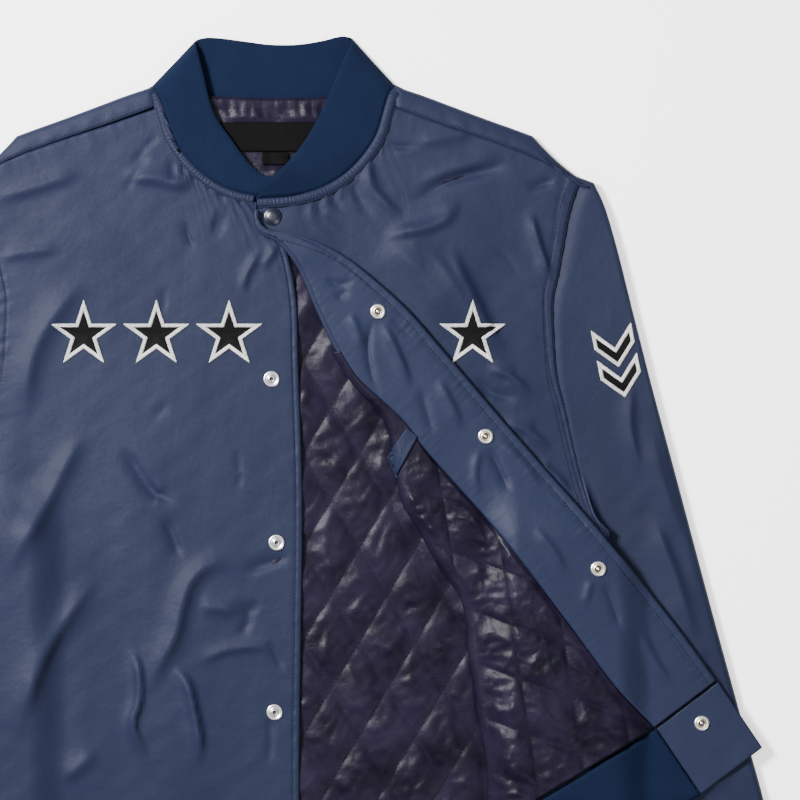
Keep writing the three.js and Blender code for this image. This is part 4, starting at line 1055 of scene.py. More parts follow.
# Collar: seam x, y, free edge x, y, height of the outer face
collarRows = [
    (4, 241, 1, 258, 11.3), (-16, 242.5, -8, 259, 11.3), (-33, 246.5, -18, 266.5, 11.3),
    (-46, 252.5, -26, 276, 11.3), (-58, 260.8, -35.5, 289.6, 11.3), (-71, 274, -45, 303, 11.3),
    (-82, 291, -51, 317, 11.3), (-88.5, 312, -56, 338, 11.3), (-92.5, 322, -59.5, 352, 11),
    (-96, 328.5, -62.5, 362, 9), (-97.5, 331, -64, 366, 5), (-95, 331.5, -61, 368.5, 1),
    (-88, 331, -55, 369.5, 0), (-70, 326, -43, 369, 0), (-45, 321.5, -24, 366.5, 0),
    (-16, 319.5, -4, 364, 0), (16, 319.5, 18, 364, 0), (45, 321.5, 38, 367, 0),
    (70, 326, 50, 370, 0), (88, 331, 57.5, 370.5, 0), (93, 332, 61, 369.5, 1),
    (95.5, 331.5, 62.5, 367, 5), (94, 328.5, 60, 362, 9), (91.5, 322, 54.5, 350, 11),
    (88.5, 312, 48.5, 336, 11.3), (82, 291, 41, 318, 11.3), (71, 274, 33, 301.5, 11.3),
    (58, 260.8, 25, 288, 11.5), (46, 252.5, 17, 277, 11.8), (33, 246.5, 10, 269, 12.6),
    (15, 242, 3, 261.5, 15.4), (-13.5, 239.6, -4.8, 254, 15.4),
]
collarSettings = {
    "steps": 420, "foot": -2.2, "turn": 6, "width": 44, "thick": 3.0, "bulge": 0.7, "roundEdge": 3.5,
    "top": 11.3, "tuck": 8.2, "tuckFollow": 0.75, "tuckAcross": (3.5, -1.5), "frontFrom": (8, 11),
}


def collar():
    own = collarSettings
    rows = smoothRows(collarRows, own["steps"])
    width = np.linalg.norm(rows[:, 2:4] - rows[:, 0:2], axis=-1)[:, None]
    turn = own["turn"]
    low, high = np.linspace(own["foot"], turn, 9), np.linspace(turn, own["width"], 24)
    away = np.concatenate([low[:-1], high])[None]
    away = np.where(away > turn, turn + (away - turn) / (own["width"] - turn) * (width - turn), away)
    t = (away / width)[..., None]
    plan = lerp(rows[:, None, 0:2], rows[:, None, 2:4], t)
    z = np.repeat(rows[:, 4:5], away.shape[1], axis=1)
    front = ease(*own["frontFrom"], z)
    edge = ease(0, own["roundEdge"], width - away)
    tuck = own["tuck"] + own["tuckFollow"] * (z - own["top"])
    bulge = front * own["bulge"] * np.sin(math.pi * np.clip(t[..., 0], 0, 1))
    z = lerp(z, tuck, front * ease(*own["tuckAcross"], away)) + bulge
    z = z - front * own["bulge"] * (1 - edge)
    return makeWall("collarKnit", withZ(plan, np.maximum(z, 0)), -own["thick"], ribKnit)


collarKnit = collar()

rib = {
    "seamY": -258, "front": 9, "half": 4.5, "turnX": 247.5, "turned": 11.9, "steps": 540, "rows": 20,
    "thick": 2.6, "behind": (-232, -210, -185, -160, -120, -80, -40, 0, 40, 80, 120, 160, 185, 210, 232),
}
# Hem rib: seam x, y, height of the outer face, direction of the rib, 1 where it is turned back
seamY, ribFront, ribHalf = rib["seamY"], rib["front"], rib["half"]
ribRows = [(x, seamY, ribFront, 0, -1, 0) for x in (-42.4, -80, -120, -160, -185, -210, -232)]
for a in np.radians([0, 45, 90, 135, 180]):
    x, z = rib["turnX"] + ribHalf * math.sin(a), ribHalf + ribHalf * math.cos(a)
    ribRows.append((-x, seamY, z, 0, -1, 0))
ribRows += [(x, seamY, 0, 0, -1, 0) for x in rib["behind"]]
for a in np.radians([180, 135, 90, 45, 0]):
    x, z = rib["turnX"] + ribHalf * math.sin(a), ribHalf + ribHalf * math.cos(a)
    ribRows.append((x, seamY, z, 0, -1, 0))
ribRows += [(x, seamY, ribFront, 0, -1, 0) for x in (232, 210, 192)]
ribRows += [(178, seamY, 9, 0.14, -0.99, 0), (174, seamY, 9.65, 0.14, -0.99, 0.4),
            (178, seamY, 10.3, 0.16, -0.98, 1)]
for share in (0.07, 0.13, 0.2, 0.4, 0.6, 0.8, 1.0):
    spot = lerp(foldLine(0.0), facingEdge(0.0), share)
    slant = float(ease(0, 0.5, share))
    across, down = lerp(0.3, 0.56, slant), -lerp(0.95, 0.83, slant)
    ribRows.append((spot[0] + 1.2, spot[1] - 2.0, rib["turned"], across, down, 1))


def hemRib():
    rows = smoothRows(ribRows, rib["steps"])
    t = np.linspace(0, 1, rib["rows"])[None, :, None]
    plan = rows[:, None, 0:2] + rows[:, None, 3:5] * jacket["ribHeight"] * t
    x, y = plan[..., 0], plan[..., 1]
    flatRise = lift(np.minimum(np.abs(x), 248), y)
    rise = lerp(flatRise, turnedRise(x, y), np.clip(rows[:, 5:6], 0, 1))
    z = rows[:, 2:3] + rise
    return makeWall("hemKnit", withZ(plan, z), rib["thick"], ribKnit)


hemKnit = hemRib()


endSettings = {
    "count": 40, "length": 63, "thick": 1.1, "ground": 0.25, "corner": (20, -258), "across": (-62, 0),
    "rightZ": 9.4, "leftZ": 13.4, "leftShift": (2, -1.2), "leftDown": (0.56, -0.83),
}


# The shell's own end of the hem rib, below a front edge
def placketEnd(name, corner, across, down, thick, height, material):
    own = endSettings
    t, u = np.meshgrid(*[np.linspace(0, 1, own["count"])] * 2, indexing="ij")
    plan = (np.array(corner)[None, None] + np.array(across)[None, None] * u[..., None]
            + np.array(down)[None, None] * own["length"] * t[..., None])
    x, y = plan[..., 0], plan[..., 1]
    z = height(x, y) + own["ground"] * shellFine(x, y)
    return makeWall(name, withZ(plan, z), thick, material)


rightEndCloth = placketEnd("rightEndCloth", endSettings["corner"], endSettings["across"], (0, -1),
                           -endSettings["thick"], lambda x, y: endSettings["rightZ"] + lift(x, y), taffeta)
endFrom = facingEdge(0.0)
endAcross = turnedEdge(0.0) - endFrom
leftEndCloth = placketEnd("leftEndCloth", endFrom + np.array(endSettings["leftShift"]), endAcross,
                          endSettings["leftDown"], endSettings["thick"],
                          lambda x, y: endSettings["leftZ"] + turnedRise(x, y), facingTaffeta)
print("ribs made")

# What lies on the cloth is set at the height of what is under it
def treeOf(thing):
    places = [v.co.copy() for v in thing.data.vertices]
    return BVHTree.FromPolygons(places, [tuple(q.vertices) for q in thing.data.polygons])


trees = {thing.name: treeOf(thing) for thing in (
    rightFrontCloth, leftFrontCloth, leftFacingCloth, leftLiningCloth, backCloth, backLiningCloth,
    leftSleeveCloth, rightSleeveCloth, leftEndCloth, rightEndCloth, hemKnit,
)}


# Heights in mm of the highest named cloth at places in plan, not a number where there is none
def found(plan, names):
    out = np.full(len(plan), np.nan)
    for k, (x, y) in enumerate(plan):
        for name in names:
            hit = trees[name].ray_cast(Vector((x * mm, y * mm, 0.08)), Vector((0, 0, -1)))[0]
            if hit is not None and not out[k] > hit.z / mm:
                out[k] = hit.z / mm
    return out


# The same, with the missing places filled in from their neighbours
def heights(plan, names):
    out = found(np.asarray(plan, float).reshape(-1, 2), names)
    known = ~np.isnan(out)
    out = np.interp(np.arange(len(out)), np.flatnonzero(known), out[known])
    return out.reshape(np.asarray(plan).shape[:-1])


# The strip's section: distance from the seam and height above the shell
stripSettings = {
    "distance": [-0.9, -0.3, 0.5, 1.4, 2.4, 3.4, 4.3, 5.0, 5.6, 6.3, 6.9],
    "height": [-0.9, 0.1, 0.6, 0.85, 0.9, 0.85, 0.7, 0.35, -0.1, 0.0, -0.6],
    "steps": 330, "pucker": 0.22, "crest": 2.4, "stitch": 5.6, "thick": 0.8,
}


# The shell's strip along the collar seam, with small puckers across it
def neckStrip(name, rows, base, seed):
    own = stripSettings
    path = smoothRows(rows, own["steps"])
    tangent = np.gradient(path, axis=0)
    away = np.stack([tangent[:, 1], -tangent[:, 0]], -1)
    away /= np.linalg.norm(away, axis=-1, keepdims=True)
    away *= np.sign((away @ np.array([0, -1.0])).sum())
    distance, height = np.array(own["distance"]), np.array(own["height"])
    along = np.concatenate([[0], np.cumsum(np.linalg.norm(np.diff(path, axis=0), axis=-1))])
    ripple = np.tanh(1.4 * jitter(seed, 6, 1.7, 3.4)(along))[:, None]
    ripple = ripple * np.exp(-((distance - own["crest"]) / 2) ** 2)
    plan = path[:, None] + away[:, None] * distance[None, :, None]
    z = base(plan[..., 0], plan[..., 1]) + height[None] + own["pucker"] * ripple
    return makeWall(name, withZ(plan, z), own["thick"], taffeta), path + away * own["stitch"]


# Where the strip goes down behind the collar
def shoulderDrop(y):
    return 8 * ease(322, 336, y)


leftSeam = [row[:2] for row in collarRows[:20:-1]]
rightSeam = [row[:2] for row in collarRows[1:11]]
leftNeckStrip, leftNeckLine = neckStrip(
    "leftNeckStrip", leftSeam,
    lambda x, y: level["leftFront"] + foldRise(x, y) + overRight(x, y) - shoulderDrop(y), 51)
rightNeckStrip, rightNeckLine = neckStrip(
    "rightNeckStrip", rightSeam, lambda x, y: level["front"] + foldRise(x, y) - shoulderDrop(y), 52)
trees["leftNeckStrip"], trees["rightNeckStrip"] = treeOf(leftNeckStrip), treeOf(rightNeckStrip)


labelSettings = {
    "label": {"centre": (-4, 290), "size": (80, 23), "high": 7.2, "thick": 0.7},
    "tab": {"centre": (0.5, 272.8), "size": (21, 10), "high": 6.9, "thick": 0.6},
    "wave": 0.35, "edge": 0.25, "edgeReach": 0.8,
}


# Label and size tab: a flat strip with a slight wave and soft edges
def slab(name, own, material):
    v, u = np.meshgrid(np.linspace(-0.5, 0.5, 24), np.linspace(-0.5, 0.5, 40), indexing="ij")
    wide, deep = own["size"]
    plan = np.stack([own["centre"][0] + u * wide, own["centre"][1] + v * deep], -1)
    edge = np.minimum(0.5 - np.abs(u), (0.5 - np.abs(v)) * deep / wide)
    z = own["high"] + labelSettings["wave"] * np.sin(u * 9 + v)
    z = z - labelSettings["edge"] * np.exp(-edge * wide / labelSettings["edgeReach"])
    return makeWall(name, withZ(plan, z), -own["thick"], material)


neckLabel = slab("neckLabel", labelSettings["label"], labelCloth)
sizeTab = slab("sizeTab", labelSettings["tab"], labelCloth)

# Outline of the inner pocket's welt
weltCorners = [(105.6, 57.5), (113.5, 51), (98.4, 23.2), (96.8, 17.6), (89.6, 34.4)]


# Places round an outline with sharp corners, moved in or out by a mitred inset
def outlineRing(corners, count, inset=0.0):
    p = np.asarray(corners, float)
    n = len(p)
    area = 0.5 * np.sum(p[:, 0] * np.roll(p[:, 1], -1) - p[:, 1] * np.roll(p[:, 0], -1))
    edge = np.roll(p, -1, axis=0) - p
    unit = edge / np.linalg.norm(edge, axis=-1, keepdims=True)
    normal = np.stack([-unit[:, 1], unit[:, 0]], -1) * np.sign(area)
    before = np.roll(normal, 1, axis=0)
    mitre = (normal + before) / (1 + np.sum(normal * before, axis=-1, keepdims=True))
    length = np.linalg.norm(edge, axis=-1)
    share = np.concatenate([[0], np.cumsum(length)]) / length.sum()
    t = np.linspace(0, 1, count, endpoint=False)
    k = np.clip(np.searchsorted(share, t, side="right") - 1, 0, n - 1)
    f = ((t - share[k]) / (share[k + 1] - share[k]))[:, None]
    base = lerp(p[k], p[(k + 1) % n], f)
    shift = lerp(mitre[k], mitre[(k + 1) % n], f)
    inset = np.broadcast_to(np.asarray(inset, float), (count,))[:, None]
    return base + shift * inset


patchRings = {"middle": 0.002, "first": 0.08, "last": 0.97, "count": 9, "edgeDown": 0.2}


# A flat patch of cloth on what is under it, from its middle out to its outline
def patchOn(name, corners, centre, under, thick, material, rise=0.5, count=120):
    own = patchRings
    ring = outlineRing(corners, count)
    shareRows = np.linspace(own["first"], own["last"], own["count"])
    t = np.concatenate([[own["middle"]], shareRows, [1.0]])[:, None, None]
    plan = np.array(centre) + (ring - np.array(centre))[None] * t
    z = heights(plan, under) + rise - own["edgeDown"] * ease(own["last"], 1, t[..., 0])
    return makeWall(name, withZ(plan, z), thick, material, ring=True)


# Section of the satin band: share of its width inwards and height
satin = {
    "width": 2.2, "teeth": 0.28, "thick": 0.5,
    "section": ((-0.42, 0.35), (-0.3, 0.85), (0.0, 1.1), (0.3, 1.1), (0.58, 0.4)),
}


# Satin stitch round an outline: a raised band with a toothed outer edge
def borderOn(name, corners, under, material, count=520):
    rows = []
    teeth = satin["teeth"] * np.abs((np.arange(count) % 4) / 2 - 1)
    for share, high in satin["section"]:
        inset = share * satin["width"] - (teeth if share < -0.35 else 0)
        rows.append((outlineRing(corners, count, inset), high))
    base = heights(rows[2][0], under)
    grid = np.stack([withZ(plan, base + high) for plan, high in rows])
    return makeWall(name, grid, satin["thick"], material, ring=True)


satinThread = clothMaterial("satinThread", {
    "roughness": 0.6, "specular": 0.3, "sheen": 0.0, "toneScale": 200.0,
    "dark": (0.62, 0.62, 0.61), "light": (0.80, 0.80, 0.79),
    "weave": [("X", 0.0007, 1.0)], "bend": 0.3, "crinkle": [(900.0, 0.2)], "bump": 0.7,
})
navyThread = clothMaterial("navyThread", {
    "roughness": 0.7, "specular": 0.15, "sheen": 0.0, "toneScale": 200.0,
    "dark": (0.0010, 0.0014, 0.0040), "light": (0.0016, 0.0022, 0.0060),
    "weave": [("X", 0.0005, 0.5)], "bend": 0.3, "crinkle": [(900.0, 0.2)], "bump": 0.4,
})

welt = {"centre": (102, 40), "thick": 1.0, "rise": 0.9}
pocketWelt = patchOn("pocketWelt", weltCorners, welt["centre"], ["leftLiningCloth"], welt["thick"], taffeta,
                     rise=welt["rise"])
star = {"y": 132, "outer": 24, "inner": 9.2, "thick": 0.6}
chevron = {"x": 279, "lean": 0.2, "low": 84, "bottoms": (84, 108), "middle": 6, "thick": 0.6}


def starCorners(x, y):
    points = []
    for k in range(10):
        size = star["inner"] if k % 2 else star["outer"]
        angle = math.pi / 2 + k * math.pi / 5
        points.append((x + size * math.cos(angle), y + size * math.sin(angle)))
    return points


def chevronCorners(bottom):
    lean = chevron["lean"]
    points = [(-15, 16), (0, 0), (15, 16), (15, 28), (0, 12), (-15, 28)]
    shift = -(bottom - chevron["low"]) * math.tan(lean)
    return [(chevron["x"] + shift + x * math.cos(lean) - y * math.sin(lean),
             bottom + x * math.sin(lean) + y * math.cos(lean)) for x, y in points]


applique = []
starPlaces = [
    (-36, "rightFrontCloth", "chest_star_right_1"),
    (-94, "rightFrontCloth", "chest_star_right_2"),
    (-152, "rightFrontCloth", "chest_star_right_3"),
    (158, "leftFrontCloth", "chest_star_left_1"),
]
for k, (x, under, node) in enumerate(starPlaces):
    corners = starCorners(x, star["y"])
    fill = patchOn(f"starTwill{k + 1}", corners, (x, star["y"]), [under], star["thick"], twill)
    edge = borderOn(f"starBorder{k + 1}", corners, [under], satinThread)
    applique.append((fill, edge, node))
upward = np.array([-math.sin(chevron["lean"]), math.cos(chevron["lean"])])
for k, bottom in enumerate(chevron["bottoms"]):
    corners = chevronCorners(bottom)
    middle = np.array(corners[1]) + chevron["middle"] * upward
    fill = patchOn(f"chevronTwill{k + 1}", corners, middle, ["leftSleeveCloth"], chevron["thick"], twill)
    edge = borderOn(f"chevronBorder{k + 1}", corners, ["leftSleeveCloth"], satinThread, count=400)
    applique.append((fill, edge, f"sleeve_chevron_{k + 1}"))
print("applique made")


# Snaps and the cap: turned shapes; a profile row is radius, height and material slot, where slot 1 on the
# snaps is painted shade in their hollows
def metalMaterial(name, colour, roughness, metallic=1.0):
    material, nodes, links, shader = nodeMaterial(name)
    shader.inputs["Metallic"].default_value = metallic
    place = nodes.new("ShaderNodeTexCoord")
    noise = addNode(nodes, "ShaderNodeTexNoise", Scale=900.0, Detail=2.0)
    links.new(place.outputs["Object"], noise.inputs["Vector"])
    rough = nodes.new("ShaderNodeMapRange")
    rough.inputs["To Min"].default_value = roughness * 0.8
    rough.inputs["To Max"].default_value = roughness * 1.3
    links.new(noise.outputs["Fac"], rough.inputs["Value"])
    links.new(rough.outputs["Result"], shader.inputs["Roughness"])
    tint = nodes.new("ShaderNodeMix")
    tint.data_type = "RGBA"
    tint.inputs[6].default_value = (*[0.85 * c for c in colour], 1)
    tint.inputs[7].default_value = (*colour, 1)
    links.new(noise.outputs["Fac"], tint.inputs[0])
    links.new(tint.outputs[2], shader.inputs["Base Color"])
    return material


silver = metalMaterial("snapSilver", (0.72, 0.72, 0.74), 0.28)
# Near-black metal for the snaps' hollows: painted shade standing in for the depth of their cavities
hollowPaintedShade = metalMaterial("snapHollowPaintedShade", (0.03, 0.03, 0.035), 0.5, 0.6)
brass = metalMaterial("snapBrass", (0.55, 0.45, 0.25), 0.35)
capPaint = metalMaterial("capPaint", (0.003, 0.005, 0.013), 0.3, 0.0)

# In the snap profiles, slot 1 marks the hollows, which get the painted shade; slots 0 and 2 are the silver
# and brass metal
studProfile = [
    (6.5, 0, 0), (6.6, 0.7, 0), (6.1, 1.25, 0), (5.3, 1.45, 0), (4.6, 1.2, 0),
    (4.1, 0.85, 0), (3.5, 0.9, 0), (2.9, 1.7, 0), (2.7, 2.4, 0), (2.3, 2.8, 0),
    (1.7, 2.85, 0), (1.3, 2.6, 1), (1.0, 1.9, 1), (0.01, 1.8, 1),
]
socketProfile = [
    (6.2, 0, 0), (6.3, 0.8, 0), (5.9, 1.5, 0), (5.2, 1.9, 0), (4.4, 2.0, 0),
    (3.9, 1.7, 0), (3.5, 1.75, 2), (3.1, 2.2, 2), (2.6, 2.2, 2), (2.3, 1.8, 1),
    (2.2, 1.0, 1), (1.4, 0.9, 1), (1.2, 1.3, 0), (0.01, 1.4, 0),
]
capProfile = [
    (7.0, 0, 0), (7.1, 0.7, 0), (6.7, 1.2, 0), (6.0, 1.3, 0), (5.6, 1.5, 0), (4.6, 2.1, 0), (3.0, 2.55, 0),
    (1.4, 2.75, 0), (0.01, 2.8, 0),
]


def turned(name, profile, place, base, surfaceSlots, count=48):
    rows = np.array([row[:2] for row in profile])
    angle = np.linspace(0, math.tau, count, endpoint=False)
    x, y = rows[:, 0, None] * np.cos(angle), rows[:, 0, None] * np.sin(angle)
    top = np.stack([place[0] + x, place[1] + y, base + np.repeat(rows[:, 1, None], count, 1)], -1)
    under = top[:1].copy()
    under[..., :2] = np.array(place) + 0.01 * (under[..., :2] - np.array(place))
    grid = np.concatenate([under, top])
    vertices = grid.reshape(-1, 3)
    quads = gridQuads(len(grid), count, True)
    if volumeSign(vertices - vertices.mean(0), quads) < 0:
        quads = quads[:, ::-1]
    thing = makeObject(name, vertices, quads, vertices[:, :2] * mm, surfaceSlots[0])
    for extra in surfaceSlots[1:]:
        thing.data.materials.append(extra)
    slots = np.repeat([row[2] for row in profile], count).astype(np.int32)
    thing.data.polygons.foreach_set("material_index", slots[:len(thing.data.polygons)])
    ends = bmesh.new()
    ends.from_mesh(thing.data)
    bmesh.ops.holes_fill(ends, edges=[e for e in ends.edges if e.is_boundary], sides=0)
    ends.to_mesh(thing.data)
    ends.free()
    return thing


snapSettings = {
    "studs": [(-2.4, 96.8), (1.6, -33.6), (0, -168.8), (0, -292)],
    "sockets": [(82.4, 150.4), (168, 51.2), (256.8, -53.6), (340, -177)],
    "sunk": 0.1, "cap": (-1.5, 226),
}
# Silver, the painted shade of the hollows, and brass
snapFinishesAndShade = [silver, hollowPaintedShade, brass]
snaps = []
for k, place in enumerate(snapSettings["studs"]):
    under = ["rightFrontCloth"] if place[1] > hem else ["rightEndCloth"]
    base = heights([place], under)[0] - snapSettings["sunk"]
    stud = turned(f"stud{k + 1}", studProfile, place, base, snapFinishesAndShade)
    snaps.append((stud, f"snap_stud_{k + 1}"))
for k, place in enumerate(snapSettings["sockets"]):
    base = heights([place], ["leftFacingCloth", "leftEndCloth"])[0] - snapSettings["sunk"]
    socket = turned(f"socket{k + 1}", socketProfile, place, base, snapFinishesAndShade)
    snaps.append((socket, f"snap_socket_{k + 1}"))
capBase = heights([snapSettings["cap"]], ["leftFrontCloth"])[0]
collarCap = turned("collarCap", capProfile, snapSettings["cap"], capBase, [capPaint])
print("snaps made")


stitch = {"segments": 5, "rings": 3, "swing": 0.14}


# Topstitching: one stitch repeated along a line of places
def stitchGroup():
    group = bpy.data.node_groups.new("stitchRun", "GeometryNodeTree")
    face = group.interface
    face.new_socket("Line", in_out="INPUT", socket_type="NodeSocketGeometry")
    for name, kind in (("Spacing", "Float"), ("Length", "Float"), ("Thickness", "Float"), ("Seed", "Int"),
                       ("Thread", "Material")):
        face.new_socket(name, in_out="INPUT", socket_type="NodeSocket" + kind)
    face.new_socket("Stitches", in_out="OUTPUT", socket_type="NodeSocketGeometry")
    nodes, links = group.nodes, group.links
    start, end = nodes.new("NodeGroupInput"), nodes.new("NodeGroupOutput")
    curve = nodes.new("GeometryNodeMeshToCurve")
    points = nodes.new("GeometryNodeCurveToPoints")
    points.mode = "LENGTH"
    links.new(start.outputs["Line"], curve.inputs["Mesh"])
    links.new(curve.outputs["Curve"], points.inputs["Curve"])
    links.new(start.outputs["Spacing"], points.inputs["Length"])
    ball = nodes.new("GeometryNodeMeshUVSphere")
    ball.inputs["Segments"].default_value = stitch["segments"]
    ball.inputs["Rings"].default_value = stitch["rings"]
    ball.inputs["Radius"].default_value = 0.5
    size = nodes.new("ShaderNodeCombineXYZ")
    links.new(start.outputs["Length"], size.inputs[0])
    links.new(start.outputs["Thickness"], size.inputs[1])
    links.new(start.outputs["Thickness"], size.inputs[2])
    shaped = nodes.new("GeometryNodeTransform")
    links.new(ball.outputs["Mesh"], shaped.inputs["Geometry"])
    links.new(size.outputs[0], shaped.inputs["Scale"])
    along = nodes.new("FunctionNodeAlignRotationToVector")
    along.axis = "X"
    links.new(points.outputs["Tangent"], along.inputs["Vector"])
    chance = nodes.new("FunctionNodeRandomValue")
    chance.data_type = "FLOAT"
    chance.inputs[2].default_value = -stitch["swing"]
    chance.inputs[3].default_value = stitch["swing"]
    links.new(start.outputs["Seed"], chance.inputs["Seed"])
    swing = nodes.new("FunctionNodeAxisAngleToRotation")
    links.new(chance.outputs[1], swing.inputs["Angle"])
    both = nodes.new("FunctionNodeRotateRotation")
    both.rotation_space = "LOCAL"
    links.new(along.outputs["Rotation"], both.inputs["Rotation"])
    links.new(swing.outputs["Rotation"], both.inputs["Rotate By"])
    placed = nodes.new("GeometryNodeInstanceOnPoints")
    links.new(points.outputs["Points"], placed.inputs["Points"])
    links.new(shaped.outputs["Geometry"], placed.inputs["Instance"])
    links.new(both.outputs["Rotation"], placed.inputs["Rotation"])
    real = nodes.new("GeometryNodeRealizeInstances")
    links.new(placed.outputs["Instances"], real.inputs["Geometry"])
    smooth = nodes.new("GeometryNodeSetShadeSmooth")
    links.new(real.outputs["Geometry"], smooth.inputs["Geometry"])
    finish = nodes.new("GeometryNodeSetMaterial")
    links.new(smooth.outputs["Geometry"], finish.inputs["Geometry"])
    links.new(start.outputs["Thread"], finish.inputs["Material"])
    links.new(finish.outputs["Geometry"], end.inputs["Stitches"])
    return group


stitchTree = stitchGroup()


# The quilting lines that show on a lining, in its own two directions
def quiltRuns(name, origin, first, second):
    runs = []
    q = np.arange(-600, 600, 3.0)
    for slope in (1, -1):
        for k in range(-12, 16):
            p = quilt["across"] * (k - slope * q / quilt["along"])
            plan = np.array(origin) + p[:, None] * np.array(first) + q[:, None] * np.array(second)
            near = (plan[:, 0] > -20) & (plan[:, 0] < 260) & (plan[:, 1] > -256) & (plan[:, 1] < 311)
            plan = plan[near]
            own, top = found(plan, [name]), found(plan, list(trees))
            shown = np.flatnonzero(own > top - 0.05)
            for run in np.split(shown, np.flatnonzero(np.diff(shown) > 1) + 1):
                if len(run) > 3:
                    runs.append(withZ(plan[run], own[run] + 0.1))
    return runs


# Stitches along several lines of places in mm, as one plain mesh
def stitchRun(name, lines, own):
    vertices, edges = [], []
    for line in lines:
        first = len(vertices)
        vertices += (np.asarray(line) * mm).tolist()
        edges += [(k, k + 1) for k in range(first, len(vertices) - 1)]
    mesh = bpy.data.meshes.new(name + "Line")
    mesh.from_pydata(vertices, edges, [])
    thing = bpy.data.objects.new(name, mesh)
    bpy.context.scene.collection.objects.link(thing)
    modifier = thing.modifiers.new("stitches", "NODES")
    modifier.node_group = stitchTree
    values = {"Spacing": own["spacing"] * mm, "Length": own["length"] * mm,
              "Thickness": own["thick"] * mm, "Seed": own["seed"], "Thread": navyThread}
    for item in stitchTree.interface.items_tree:
        if item.in_out == "INPUT" and item.name in values:
            modifier[item.identifier] = values[item.name]
    made = bpy.data.meshes.new_from_object(thing.evaluated_get(bpy.context.evaluated_depsgraph_get()))
    thing.modifiers.remove(modifier)
    thing.data = made
    made.name = name
    return thing


def seamLine(plan, under, rise=0.12):
    plan = np.asarray(plan, float)
    return withZ(plan, heights(plan, under) + rise)


# A line beside a route, on its left-hand side
def offsetLine(line, inset, low=0.0, high=1.0, count=240):
    t = np.linspace(low, high, count)
    places = line(t)
    d = np.gradient(places, axis=0)
    left = np.stack([-d[:, 1], d[:, 0]], -1) / np.linalg.norm(d, axis=-1, keepdims=True)
    return places + left * inset


runs = {
    "shell": {"spacing": 2.9, "length": 2.5, "thick": 0.62, "seed": 3},
    "facing": {"spacing": 2.9, "length": 2.6, "thick": 0.75, "seed": 4},
    "lining": {"spacing": 2.6, "length": 2.0, "thick": 0.4, "seed": 5},
    "quilt": {"spacing": 3.6, "length": 2.6, "thick": 0.6, "seed": 6},
}
right, left = ["rightFrontCloth"], ["leftFrontCloth"]
shellLines = [
    seamLine(offsetLine(rightEdge, 5.4, 0, 0.985), right),
    seamLine(offsetLine(frontArmhole, 1.6, 0.02, 0.98), left),
    seamLine(offsetLine(frontArmhole, 8.4, 0.03, 0.97), left),
    seamLine(offsetLine(mirrored(frontArmhole), -1.6, 0.02, 0.98), right),
    seamLine(offsetLine(mirrored(frontArmhole), -8.4, 0.03, 0.97), right),
    seamLine(offsetLine(shoulderSeam, 1.4, 0.05, 0.99), left + ["backCloth"]),
    seamLine(offsetLine(mirrored(shoulderSeam), -1.4, 0.05, 0.99), right + ["backCloth"]),
    seamLine(leftNeckLine[:300], ["leftNeckStrip", "leftFrontCloth"]),
    seamLine(rightNeckLine[:300], ["rightNeckStrip", "rightFrontCloth"]),
    seamLine(outlineRing(weltCorners, 60, 1.1), ["leftLiningCloth"], 1.1),
]
facingLines = [seamLine(offsetLine(turnedEdge, 6.4, 0.002, 0.97, 420), ["leftFacingCloth"])]
shellStitches = stitchRun("shellStitches", shellLines, runs["shell"])
facingStitches = stitchRun("facingStitches", facingLines, runs["facing"])
backX = np.linspace(-60, 58, 120)
liningSeam = np.stack([backX, liningSeamY(backX) - 0.8], -1)
liningLines = [seamLine(liningSeam, ["backLiningCloth"])]
for x in (-42.5, 34.5):  # both ends of the label
    liningLines.append(np.stack([np.full(12, x), np.linspace(280, 300, 12), np.full(12, 7.4)], -1))
liningStitches = stitchRun("liningStitches", liningLines, runs["lining"])
quiltLines = quiltRuns("backLiningCloth", (0, 0), (1, 0), (0, 1))
quiltLines += quiltRuns("leftLiningCloth", foldFoot, turnedAcross, turnedAxis)
quiltStitches = stitchRun("quiltStitches", quiltLines, runs["quilt"])
print("stitches made", len(quiltStitches.data.polygons))

# Camera, light and floor
view = {"centre": (0.1, 0.08), "height": 2.5, "width": 0.64}
cameraData = bpy.data.cameras.new("camera")
cameraData.sensor_width = 36
cameraData.lens = 36 * view["height"] / view["width"]
cameraData.clip_end = 20
camera = bpy.data.objects.new("camera", cameraData)
camera.location = (*view["centre"], view["height"])
bpy.context.scene.collection.objects.link(camera)
bpy.context.scene.camera = camera


def areaLight(name, place, aim, size, power):
    data = bpy.data.lights.new(name, "AREA")
    data.shape = "RECTANGLE"
    data.size, data.size_y = size
    data.energy = power
    lamp = bpy.data.objects.new(name, data)
    lamp.location = place
    direction = np.array(aim) - np.array(place)
    lamp.rotation_euler = Vector(direction).to_track_quat("-Z", "Y").to_euler()
    bpy.context.scene.collection.objects.link(lamp)


# Place, what it is aimed at, size and power
lamps = {
    "keyLight": ((-1.4, 0.85, 1.9), (0.05, 0.05, 0), (0.6, 0.6), 240),
    "fillLight": ((1.5, -1.6, 1.9), (0.1, 0.05, 0), (1.4, 1.2), 30),
    "topLight": ((0.1, 0.1, 3.2), (0.1, 0.08, 0), (2.6, 2.6), 34),
}
for name, (place, aim, size, power) in lamps.items():
    areaLight(name, place, aim, size, power)

world = bpy.data.worlds.new("studio")
bpy.context.scene.world = world
world.use_nodes = True
world.node_tree.nodes["Background"].inputs["Color"].default_value = (1, 1, 1, 1)
world.node_tree.nodes["Background"].inputs["Strength"].default_value = 0.34

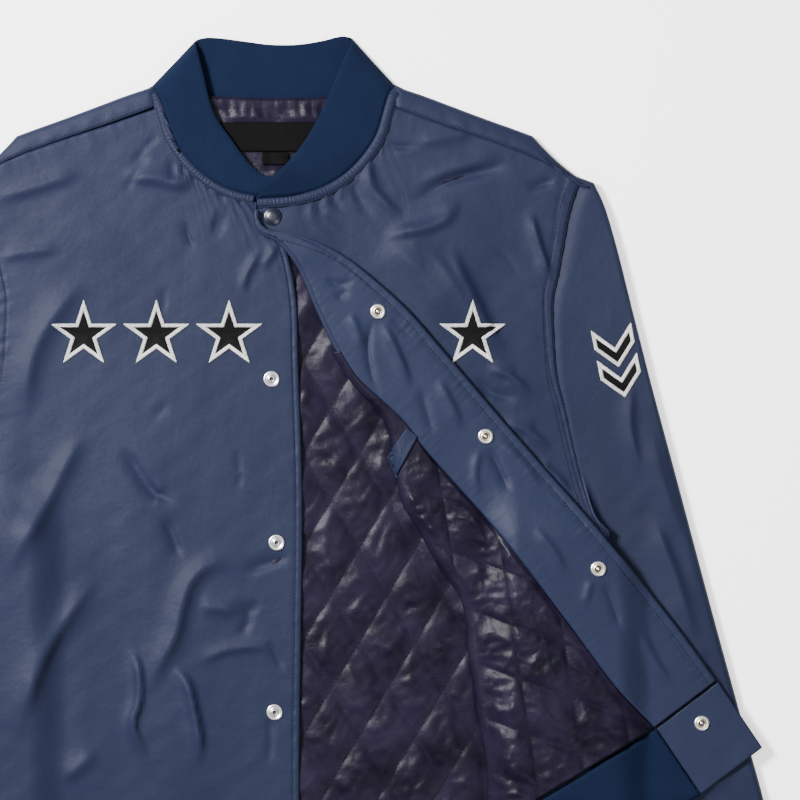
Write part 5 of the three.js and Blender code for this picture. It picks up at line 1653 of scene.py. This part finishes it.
ground = {"reach": 3.0, "z": -0.0003}
floorMesh = bpy.data.meshes.new("floor")
floorCorners = [(x * ground["reach"], y * ground["reach"], ground["z"])
                for x, y in ((-1, -1), (1, -1), (1, 1), (-1, 1))]
floorMesh.from_pydata(floorCorners, [], [(0, 1, 2, 3)])
floorMaterial, _, _, floorShader = nodeMaterial("paleFloor")
floorShader.inputs["Base Color"].default_value = (0.94, 0.94, 0.94, 1)
floorShader.inputs["Roughness"].default_value = 0.9
floorShader.inputs["Emission Color"].default_value = (1, 1, 1, 1)
floorShader.inputs["Emission Strength"].default_value = 1.0
floorMesh.materials.append(floorMaterial)
floor = bpy.data.objects.new("floor", floorMesh)
bpy.context.scene.collection.objects.link(floor)

# What each piece stands for, its finish, and the size it was cut to, in metres
pieces = [
    (rightFrontCloth, "front_right_shell", "shell_navy", (0.29, 0.57), None),
    (leftFrontCloth, "front_left_shell", "shell_navy", (0.30, 0.62), None),
    (leftFacingCloth, "front_left_facing", "facing_navy", (0.065, 0.62), None),
    (leftLiningCloth, "front_left_lining", "lining_plum", (0.16, 0.45), 0.036),
    (backCloth, "back_shell", "shell_navy", (0.54, 0.64), None),
    (backLiningCloth, "back_lining", "lining_plum", (0.52, 0.60), None),
    (leftSleeveCloth, "sleeve_left", "shell_navy", (0.38, 0.56), 0.115),
    (rightSleeveCloth, "sleeve_right", "shell_navy", (0.38, 0.56), 0.115),
    (leftCuffKnit, "cuff_left", "rib_navy", (0.20, 0.065), None),
    (rightCuffKnit, "cuff_right", "rib_navy", (0.20, 0.065), None),
    (collarKnit, "collar_rib", "rib_navy", (0.60, 0.046), None),
    (hemKnit, "hem_rib", "rib_navy", (1.04, 0.063), None),
    (rightEndCloth, "placket_end_right", "shell_navy", (0.062, 0.063), None),
    (leftEndCloth, "placket_end_left", "facing_navy", (0.062, 0.063), None),
]
for thing, node, slot, flat, area in pieces:
    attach(thing, "root")
    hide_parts(node)
strips = (
    (leftNeckStrip, "shell_navy", (0.17, 0.01)), (rightNeckStrip, "shell_navy", (0.13, 0.01)),
)
for thing, slot, flat in strips:
    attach(thing, "root")
for thing, slot in ((shellStitches, "shell_navy"), (facingStitches, "facing_navy"),
                    (liningStitches, "lining_plum"), (quiltStitches, "lining_plum")):
    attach(thing, "root")
for thing, node, slot in ((neckLabel, "neck_label", "label_black"), (sizeTab, "size_tab", "label_black"),
                          (pocketWelt, "inner_pocket_welt", "shell_navy"),
                          (collarCap, "collar_snap_cap", "cap_navy")):
    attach(thing, "root")
    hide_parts(node)
for thing, node in snaps:
    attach(thing, "root")
    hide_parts(node)
for fill, edge, node in applique:
    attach(fill, "root")
    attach(edge, "root")
    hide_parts(node)
    size = (0.046, 0.044) if node.startswith("chest") else (0.032, 0.032)
